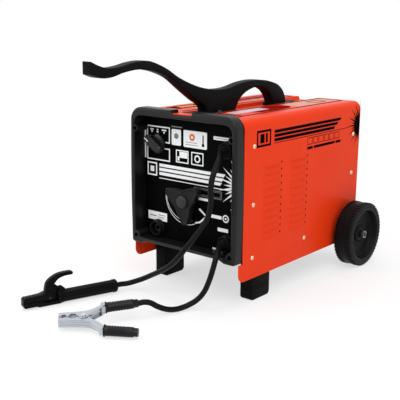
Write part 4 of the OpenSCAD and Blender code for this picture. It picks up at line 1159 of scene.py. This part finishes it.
@dataclass
class Wheel:
    """A moulded wheel with a lugged tread, a dished disc and a push-on hub cap."""

    side: int
    axle: Point2 = (404, 70)
    inner_x: float = 142
    radius: float = 70
    width: float = 40
    hub: float = 16
    lugs: int = 54

    def tyre(self) -> bpy.types.Object:
        """Models the tyre, dish and hub as one turned shape."""
        r, w = self.radius, self.width
        profile = [(7.05, -4), (self.hub, -4), (self.hub, 14), (30, 14), (50, 13), (52.6, 1.6), (54, 0),
                   (r - 7, 0), (r - 2.6, 1.2), (r - 1.4, 4.4), (r - 1.4, 11.6), (r - 1.8, 12.2),
                   (r - 1.8, 12.9), (r - 1.2, 13.6), (r - 1.2, w - 13.6), (r - 1.8, w - 12.9),
                   (r - 1.8, w - 12.2), (r - 1.4, w - 11.6), (r - 1.4, w - 4.4), (r - 2.6, w - 1.2),
                   (r - 7, w), (r - 8.4, w - 0.2), (r - 9, w - 0.9), (r - 9.6, w - 0.9),
                   (r - 10.2, w - 0.2), (56.4, w), (54.2, w - 0.4), (53, w - 2.4), (51.8, 27), (50, 24.4),
                   (47, 23), (27, 22), (26, 23.4), (24.6, 24), (22.8, 24), (21.4, 23.2), (20.6, 22),
                   (18.4, 22), (self.hub + 2, 24), (self.hub + 0.6, 25.2), (self.hub - 2, 27.4),
                   (12, 28.2), (7.05, 28.4)]
        return Bench.lathe(profile, at(self.inner_x, *self.axle), Axis.X, 96)

    def lug(self, start: float, depth: float) -> bpy.types.Object:
        """Models one tread lug that wraps over a shoulder, at the wheel's top."""
        x, (y, z) = self.inner_x + start, self.axle
        bar = Bench.flat(box_outline(x, x + depth, y - 1.35, y + 1.35), z + self.radius - 0.35, -3)
        return Bench.bevel(bar, 0.45, 2, 40)

    def tread(self) -> list[bpy.types.Object]:
        """Copies the lugs round both shoulders, the two rows staggered."""
        pivot = at(self.inner_x, *self.axle)
        rows = []
        for shift, start in ((0.0, 1.4), (0.5, self.width - 12.4)):
            first = self.lug(start, 11)
            for i in range(self.lugs):
                rows.append(Bench.copy(first, about(pivot, 360 * (i + shift) / self.lugs, "X")))
            bpy.data.objects.remove(first)
        return rows

    def cap(self) -> bpy.types.Object:
        """Models the domed cap that holds the wheel on the axle."""
        profile = [(0, 28.6), (9.2, 28.6), (9.2, 34), (8.6, 34.8), (7.2, 35.2), (6.6, 37.6), (5, 38.9),
                   (2.6, 39.5), (0, 39.6)]
        return Bench.lathe(profile, at(self.inner_x, *self.axle), Axis.X, 32)

    def build(self) -> None:
        """Models the wheel and its cap."""
        name = SIDE_NAMES[self.side]
        wheel, cap = Bench.join([self.tyre(), *self.tread()]), self.cap()
        if self.side < 0:
            wheel, cap = (self.mirrored(piece) for piece in (wheel, cap))
        Bench.dress(wheel, f"lugged_wheel_{name}", TYRE, f"wheel_{name}", "wheel_rubber", 32,
                    [f"wheel_{name}"])
        Bench.dress(cap, f"axle_cap_{name}", AXLE_END, "case", "zinc_steel", 35,
                    ["axle_clips"] if self.side > 0 else ())

    @staticmethod
    def mirrored(piece: bpy.types.Object) -> bpy.types.Object:
        """Gives the left-hand twin of a piece and removes the original."""
        twin = Bench.copy(piece, MIRROR)
        bpy.data.objects.remove(piece)
        return twin


# ---------------------------------------------------------------- screws


@dataclass
class SideScrews:
    """The pan-head screws of the side sheets, each with a cross recess."""

    face_x: float = 132.5
    places: tuple[Point2, ...] = (
        (53, 92), (53, 194), (53, 303), (415, 92), (415, 200), (415, 285), (232, 92))

    def head(self) -> bpy.types.Object:
        """Models one head at the middle of the right-hand side."""
        centre = at(self.face_x, 0, 0)
        head = Bench.lathe([(0, -1), (3.6, -1), (4.4, 0), (4.3, 0.7), (3.7, 1.6), (2.2, 2.2), (0, 2.4)],
                           centre, Axis.X, 28)
        for turn in (0.0, 90.0):
            slot = Bench.block(centre + Vector((1.1, -2.3, -0.45)) * MM, centre + Vector((4, 2.3, 0.45)) * MM)
            slot.data.transform(about(centre, turn + 20, "X"))
            Bench.cut(head, slot)
        return head

    def build(self) -> None:
        """Copies the head to each place on both sides."""
        first = self.head()
        heads = []
        for y, z in self.places:
            move = Matrix.Translation(at(0, y, z) - at(0, 0, 0))
            heads += [Bench.copy(first, move), Bench.copy(first, MIRROR @ move)]
        bpy.data.objects.remove(first)
        Bench.dress(Bench.join(heads), "side_screw_heads", WARM_ZINC, "case", "zinc_steel", 40,
                    ["cover_screws"])


# ---------------------------------------------------------------- controls and sockets


@dataclass
class CurrentKnob:
    """The three-lobed current knob with dished sides and a raised middle."""

    axis: Point2 = (-8, 184)
    reach: float = 37
    lobe: float = 9
    first: float = 38
    front: float = 13
    thick: float = 14

    def outline(self) -> list[Point2]:
        """Gives the knob's outline: three round lobes joined by hollow sides."""
        points = []
        for turn in (self.first, self.first + 120, self.first + 240):
            points += arc(polar(self.axis, self.reach, turn), self.lobe, turn - 62, turn + 62, 8)
            for step, radius in ((38, 26.6), (49, 23.6), (60, 22.7), (71, 23.6), (82, 26.6)):
                points.append(polar(self.axis, radius, turn + step))
        return points

    def build(self) -> None:
        """Models the knob."""
        knob = Bench.upright(self.outline(), self.front, self.thick)
        near = BEZEL_FRONT + self.front * MM + 0.00001
        Bench.edit(knob)
        bpy.ops.mesh.select_mode(type="FACE")
        bpy.ops.mesh.select_all(action="DESELECT")
        Bench.close()
        for face in knob.data.polygons:
            face.select = face.center.y < near
        bpy.ops.object.mode_set(mode="EDIT")
        bpy.ops.mesh.inset(thickness=3.4 * MM, depth=0)
        bpy.ops.mesh.inset(thickness=2.4 * MM, depth=-1.6 * MM)
        bpy.ops.mesh.select_mode(type="VERT")
        Bench.close()
        Bench.bevel(knob, 1.3, 3, 32)
        skirt = Bench.lathe([(6.1, 12), (15, 12), (15, 13.6), (15, 17), (14.2, 17.6), (6.1, 17.6)],
                            at(self.axis[0], self.front, self.axis[1]), Axis.Y, 40)
        Bench.dress(Bench.join([knob, skirt]), "lobed_knob", KNOB, "current_control", "knob_plastic", 34,
                    ["current_knob"])
        cap = Bench.lathe([(0, 9.2), (6, 9.35), (10, 10), (12.2, 11), (13, 12.2), (13, 14.6), (0, 14.6)],
                          at(self.axis[0], 0, self.axis[1]), Axis.Y, 40)
        Bench.dress(cap, "knob_middle", CAP, "current_control", "cap_plastic", 34, ["knob_cap"])


@dataclass
class SelectorKnob:
    """The voltage selector's pointer knob."""

    axis: Point2 = (-84, 288)
    turn: float = 33
    length: float = 47
    width: float = 17
    front: float = 9
    thick: float = 16.6

    def build(self) -> None:
        """Models the base, the pointer bar and its white mark."""
        x, z = self.axis
        base = Bench.lathe([(4.1, 24.4), (16.6, 24.4), (18.4, 25.4), (19, 27), (19, 29.4), (18.4, 30.6),
                            (4.1, 30.6)], at(x, 0, z), Axis.Y, 48)
        half, wide = self.length / 2, self.width / 2
        bar = Bench.upright(eased([(-half, -wide + 3), (-half + 8, -wide), (half - 6, -wide), (half, -4),
                                   (half, 4), (half - 6, wide), (-half + 8, wide), (-half, wide - 3)],
                                  2.5, 3), self.front, self.thick)
        near = BEZEL_FRONT + self.front * MM + 0.00001
        Bench.round_edges(bar, lambda a, b: a.y < near and b.y < near, 3.6, 1)
        Bench.bevel(bar, 0.5, 2, 25)
        mark = Bench.upright(box_outline(-half + 2.5, -half + 14, -0.9, 0.9, 0.6), self.front - 0.05, 0.8)
        swing = Matrix.Translation(at(x, 0, z) - at(0, 0, 0)) @ about(at(0, 0, 0), self.turn, "Y")
        for piece in (bar, mark):
            piece.data.transform(swing)
        Bench.dress(Bench.join([base, bar]), "pointer_knob", POINTER, "selector", "knob_plastic", 34,
                    ["selector_knob"])
        Bench.dress(mark, "pointer_mark", WHITE_INK, "selector", "knob_plastic")


@dataclass
class Sockets:
    """The three quick-fit sockets and the two plugs with their rubber boots."""

    places: tuple[Point2, ...] = ((90, 294), (90, 117), (-84, 117))
    collar: float = 17
    bore: float = 11.8

    def socket(self, place: Point2) -> bpy.types.Object:
        """Models one socket's collar with a stepped flange and three keyways."""
        r, b = self.collar, self.bore
        shell = Bench.lathe([(b, 19.8), (b + 0.8, 19), (14.4, 19), (15.2, 19.6), (15.2, 26.4), (16.4, 27),
                             (r, 27.8), (r, 30.9), (14, 30.9), (14, 52), (5.3, 52), (5.3, 46.5), (b, 46.5)],
                            at(place[0], 0, place[1]), Axis.Y, 48)
        for turn in (90, 210, 330):
            x, z = polar(place, b, turn)
            spot = at(x, 17, z)
            Bench.cut(shell, Bench.rod(spot, spot + Vector((0, 0.006, 0)), 1.3, 16))
        return shell

    def boot(self, place: Point2) -> bpy.types.Object:
        """Models the ribbed boot between a plug and its cable."""
        profile = [(5.1, 8.5), (6.6, 8.5), (7.2, 9.2)]
        for i in range(4):
            y = 10.4 + 2.6 * i
            profile += [(7.3 + 0.55 * i, y), (8.2 + 0.5 * i, y + 0.4), (8.3 + 0.5 * i, y + 1.6),
                        (7.6 + 0.55 * i, y + 2)]
        profile += [(10.4, 21), (11.5, 21.8), (11.5, 40), (5.1, 40)]
        return Bench.lathe(profile, at(place[0], 0, place[1]), Axis.Y, 40)

    def build(self) -> None:
        """Models the sockets and the plugs."""
        shells = [self.socket(place) for place in self.places]
        Bench.dress(Bench.join(shells), "socket_shells", SOCKET, "case", "socket_plastic", 34, ["sockets"])
        for place, name in zip(self.places, ("electrode", "ground")):
            Bench.dress(self.boot(place), f"{name}_plug_boot", SOCKET, "case", "socket_plastic", 34,
                        [f"{name}_plug"])


# ---------------------------------------------------------------- electrode holder


@dataclass
class ElectrodeHolder:
    """The insulated electrode holder, drawn along X from its cable end to its tip."""

    place: Vector = field(default_factory=lambda: at(-111, -64, 13))
    yaw: float = -108.4
    radius: float = 13
    length: float = 193
    back: tuple[Point2, ...] = (
        (150, 12), (149, 21), (146, 31), (138, 39), (124, 45.5), (108, 47.5), (96, 47), (93, 45))
    belly: tuple[Point2, ...] = (
        (93, 42.5), (96, 40.5), (110, 40), (122, 36.5), (130, 29), (134, 20), (136, 12))
    fin: tuple[Point2, ...] = (
        (112, 13), (113, 18), (116.5, 20.8), (120, 20.6), (123, 21.2), (127, 24.6), (131, 27.4),
        (135, 26), (137, 16))
    teeth: tuple[float, ...] = (172, 178, 184)

    def placed(self, piece: bpy.types.Object) -> bpy.types.Object:
        """Moves a piece from its own drawing to the holder's place."""
        piece.data.transform(Matrix.Translation(self.place) @ Matrix.Rotation(math.radians(self.yaw), 4, "Z"))
        return piece

    def side_slab(self, outline: Sequence[Point2], half: float) -> bpy.types.Object:
        """Thickens an outline drawn in X and Z to both sides."""
        return Bench.slab([Vector((x, -half, z)) * MM for x, z in outline], Vector((0, 2 * half * MM, 0)))

    @staticmethod
    def notch(piece: bpy.types.Object, x: Point2, half: float, z: Point2) -> None:
        """Cuts a box out of a piece, from x[0] to x[1], z[0] to z[1] and half to either side."""
        Bench.cut(piece, Bench.block(Vector((x[0], -half, z[0])) * MM, Vector((x[1], half, z[1])) * MM))

    def grip(self) -> bpy.types.Object:
        """Models the handle tube with long flutes, an end bead and a cable collar."""
        r = self.radius
        section = []
        for i in range(48):
            angle = 2 * math.pi * i / 48
            flute = 0.55 * (1 - math.cos(8 * angle)) / 2
            section.append(polar((0, 0), r - 0.3 - flute, 7.5 * i))
        tube = Bench.slab([Vector((9, u, v)) * MM for u, v in section], Vector((0.1065, 0, 0)))
        bead = Bench.lathe([(6, 0), (8.6, 0), (9.6, 0.8), (r - 1.4, 2.2), (r - 0.1, 3.6), (r, 5), (r, 9),
                            (r - 0.4, 10.4), (r - 1.6, 11), (6, 11)], Vector(), Axis.X, 40)
        ring = Bench.lathe([(5, 113), (r - 0.6, 113), (r, 113.8), (r, 117.4), (r - 0.6, 118), (5, 118)],
                           Vector(), Axis.X, 40)
        return Bench.join([tube, bead, ring])

    def head(self) -> bpy.types.Object:
        """Models the collar, hinge web, thumb boss, middle fin and grooved lower jaw."""
        r, low = self.radius, -self.radius + 1
        collar = Bench.lathe([(4, 118.3), (r - 0.7, 118.3), (r, 119), (r, 125.4), (r - 0.8, 126), (4, 126)],
                             Vector(), Axis.X, 40)
        jaw = self.side_slab([(119, low), (163, low), (167, low + 2), (self.length - 3, low + 2),
                              (self.length, low + 5), (self.length, -0.3), (155, -0.3), (152, -4.5),
                              (119, -4.5)], 9)
        Bench.bevel(jaw, 1.4, 3, 25)
        for x in self.teeth:
            self.notch(jaw, (x, x + 1.6), 12, (low - 1, low + 3.2))
        web = self.side_slab([(119, -5), (154, -5), (154, -0.3), (148, 6), (136, 7), (119, 8)], 4)
        Bench.bevel(web, 0.6, 2, 25)
        boss = self.side_slab(arc((117, r), 7, 0, 360, 28)[:-1], 6)
        Bench.cut(boss, Bench.rod(Vector((90, 0, 0)) * MM, Vector((118.2, 0, 0)) * MM, r + 0.3, 48))
        Bench.bevel(boss, 0.9, 2, 40)
        fin = self.side_slab(spline(self.fin, 4) + [(136, 6), (112, 6)], 2.4)
        Bench.bevel(fin, 0.5, 2, 40)
        return Bench.join([collar, jaw, web, boss, fin])

    def lever(self) -> bpy.types.Object:
        """Models the upper jaw and the curved thumb lever."""
        jaw = self.side_slab([(self.length, 0.1), (self.length, 7), (self.length - 3, 10), (160, 11),
                              (150, 14), (136, 14), (134, 3), (138, -2), (146, -2), (156, 0.1)], 8.5)
        Bench.bevel(jaw, 1.6, 3, 25)
        self.notch(jaw, (120, 154.5), 4.3, (-8, 9))
        for x in self.teeth:
            self.notch(jaw, (x, x + 1.6), 12, (7.4, 15))
        for x in (163, 167.6):
            self.notch(jaw, (x, x + 1.4), 12, (9.4, 15))
        thumb = self.side_slab(spline(self.back, 5) + spline(self.belly, 5), 5.5)
        Bench.bevel(thumb, 1.8, 3, 50)
        self.notch(thumb, (116, 141), 3, (6, 32))
        return Bench.join([jaw, thumb])

    def build(self) -> None:
        """Models the holder."""
        for piece, name, body, node in (
                (self.grip(), "holder_handle", "case", "holder_grip"),
                (self.head(), "holder_lower_jaw", "case", "holder_head"),
                (self.lever(), "holder_upper_jaw", "holder_lever", "holder_lever")):
            Bench.dress(self.placed(piece), name, HOLDER, body, "holder_plastic", 34, [node])


# ---------------------------------------------------------------- ground clamp


@dataclass
class GroundClamp:
    """The ground clamp's sleeves and pressed arms, drawn along X from the pivot to the jaw tip."""

    place: Vector = field(default_factory=lambda: at(-19, -233, 17))
    turns: tuple[float, float, float] = (-9, 1, -135.5)
    grip_at: Point2 = (-36, 38)
    grip_turn: float = 11
    sleeve: float = 52
    edge: tuple[Point2, ...] = ((40, 10.6), (14, 12.5), (0, 14), (-12, 18), (-24, 27.5), (-33, 38.5))
    web: tuple[float, float] = (8.8, 6.6)

    def drawing(self, side: int) -> Matrix:
        """Gives the matrix from one arm's drawing to the frame; side is -1 for the fixed arm."""
        roll, pitch, yaw = (math.radians(v) for v in self.turns)
        turn = Matrix.Rotation(yaw, 4, "Z") @ Matrix.Rotation(pitch, 4, "Y") @ Matrix.Rotation(roll, 4, "X")
        return Matrix.Translation(self.place) @ turn @ Matrix.Diagonal((1, side, 1, 1))

    def placed(self, piece: bpy.types.Object, side: int, change: Matrix) -> bpy.types.Object:
        """Moves a piece from one arm's drawing to the frame, after a change within the drawing."""
        piece.data.transform(self.drawing(side) @ change)
        if side < 0:
            piece.data.flip_normals()
        return piece

    def grip(self, side: int) -> bpy.types.Object:
        """Models one ribbed vinyl sleeve with its end flange."""
        end = self.sleeve
        profile = [(0, 0.2), (9.6, 0.2), (10.8, 0.7), (11, 1.4), (10.6, 2.3), (9.4, 2.8), (9.2, 3.4),
                   (9.2, 9)]
        for x in (12, 17, 22, 27, 32, 37):
            profile += [(9.2, x - 1.2), (8.6, x - 0.7), (8.6, x + 0.7), (9.1, x + 1.2)]
        profile += [(8.8, end - 4), (8.8, end - 1.6), (8.2, end - 0.4), (7.8, end), (7.5, end + 0.6),
                    (7.4, end + 7), (7, end + 8), (0, end + 8)]
        piece = Bench.lathe(profile, Vector(), Axis.X, 40)
        place = Matrix.Translation(Vector((*self.grip_at, 0)) * MM) @ Matrix.Rotation(
            math.radians(180 - self.grip_turn), 4, "Z")
        return self.placed(piece, side, place)

    def flank(self, side: int) -> bpy.types.Object:
        """Models the pressed web along the outer edge of one arm, with its two long ribs."""
        high = self.web[0 if side < 0 else 1]
        path = spline(self.edge, 5)

        def band(inner: float, outer: float, low: float, top: float) -> bpy.types.Object:
            rim = [self.beside(path, i, outer) for i in range(len(path))]
            rim += [self.beside(path, i, inner) for i in range(len(path))][::-1]
            return Bench.slab([Vector((x, y, low)) * MM for x, y in rim], Vector((0, 0, (top - low) * MM)))

        web = band(-0.9, 0.7, -high, high)
        ribs = [band(0.2, 1.5, mid - 0.9, mid + 0.9) for mid in (-high * 0.42, high * 0.42)]
        return self.placed(Bench.join([web, *ribs]), side, Matrix())

    @staticmethod
    def beside(path: Sequence[Point2], index: int, offset: float) -> Point2:
        """Gives a point of a path moved square to it.

        Args:
            path: The path's points, drawn toward the grip.
            index: Which point.
            offset: How far outward.
        """
        (x0, y0), (x1, y1) = path[max(index - 1, 0)], path[min(index + 1, len(path) - 1)]
        long = math.hypot(x1 - x0, y1 - y0)
        x, y = path[index]
        return x - (y0 - y1) / long * offset, y + (x0 - x1) / long * offset

    def build(self) -> None:
        """Models the two sleeves and the webs of the arms."""
        arms = ((-1, "fixed", "case"), (1, "moving", "clamp_moving_arm"))
        for side, name, body in arms:
            Bench.dress(self.flank(side), f"clamp_web_{name}", PRESSED, body, "zinc_steel", 34)
        for side, name, body in arms:
            Bench.dress(self.grip(side), f"clamp_sleeve_{name}", GRIP, body, "grip_plastic", 34,
                        [f"clamp_{name}_grip"])


@dataclass
class MainsGland:
    """The cable gland on the rear panel."""

    axis: Point2 = (80, 125)
    face: float = 443

    def build(self) -> None:
        """Models the gland's hexagon and its ribbed dome nut."""
        x, z = self.axis
        base = Bench.upright(hexagon(self.axis, 15), self.face, 8)
        Bench.bevel(base, 0.8, 2, 30)
        Bench.cut(base, Bench.rod(at(x, self.face - 1, z), at(x, self.face + 10, z), 5.3, 32))
        dome = Bench.lathe([(5.3, 7.9), (12, 7.9), (12.5, 8.6), (12.5, 14), (11.6, 17), (9.6, 20.4),
                            (8.6, 21.6), (7, 22), (5.6, 21.4), (5.3, 20.6)], at(x, self.face, z), Axis.Y, 48)
        for u, v in arc(self.axis, 13.2, 0, 330, 11):
            spot = at(u, self.face + 9.5, v)
            Bench.cut(dome, Bench.rod(spot, spot + Vector((0, 0.014, 0)), 1.5, 12))
        thread = Bench.lathe(box_outline(5.3, 10, -13.4, 0.5), at(x, self.face, z), Axis.Y, 40)
        Bench.dress(Bench.join([base, dome, thread]), "gland_moulding", SOCKET, "case", "socket_plastic", 34,
                    ["mains_gland"])


# ---------------------------------------------------------------- assembly


def dress_frame() -> None:
    """Gives every CAD node its finish."""
    for name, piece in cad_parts.items():
        if name in NODE_FINISH:
            piece.data.materials.clear()
            piece.data.materials.append(NODE_FINISH[name].build())


def main() -> None:
    """Builds the studio, the cords and the sub-assemblies in order."""
    logging.basicConfig(level=logging.INFO, format="%(message)s")
    Studio().build()
    electrode = ELECTRODE_CABLE.lay()
    ground = GROUND_CABLE.lay()
    dress_frame()
    assemblies = [
        Case(), FrontBezel(), ControlPanel(), TowHandle(), FrontFoot(-1), FrontFoot(1), Wheel(-1), Wheel(1),
        SideScrews(), CurrentKnob(), SelectorKnob(), Sockets(), ElectrodeHolder(), GroundClamp(),
        MainsGland(),
    ]
    for assembly in assemblies:
        assembly.build()
        LOG.info("%s built", type(assembly).__name__)
    ELECTRODE_CABLE.declare()
    GROUND_CABLE.declare()


if __name__ == "__main__":
    main()
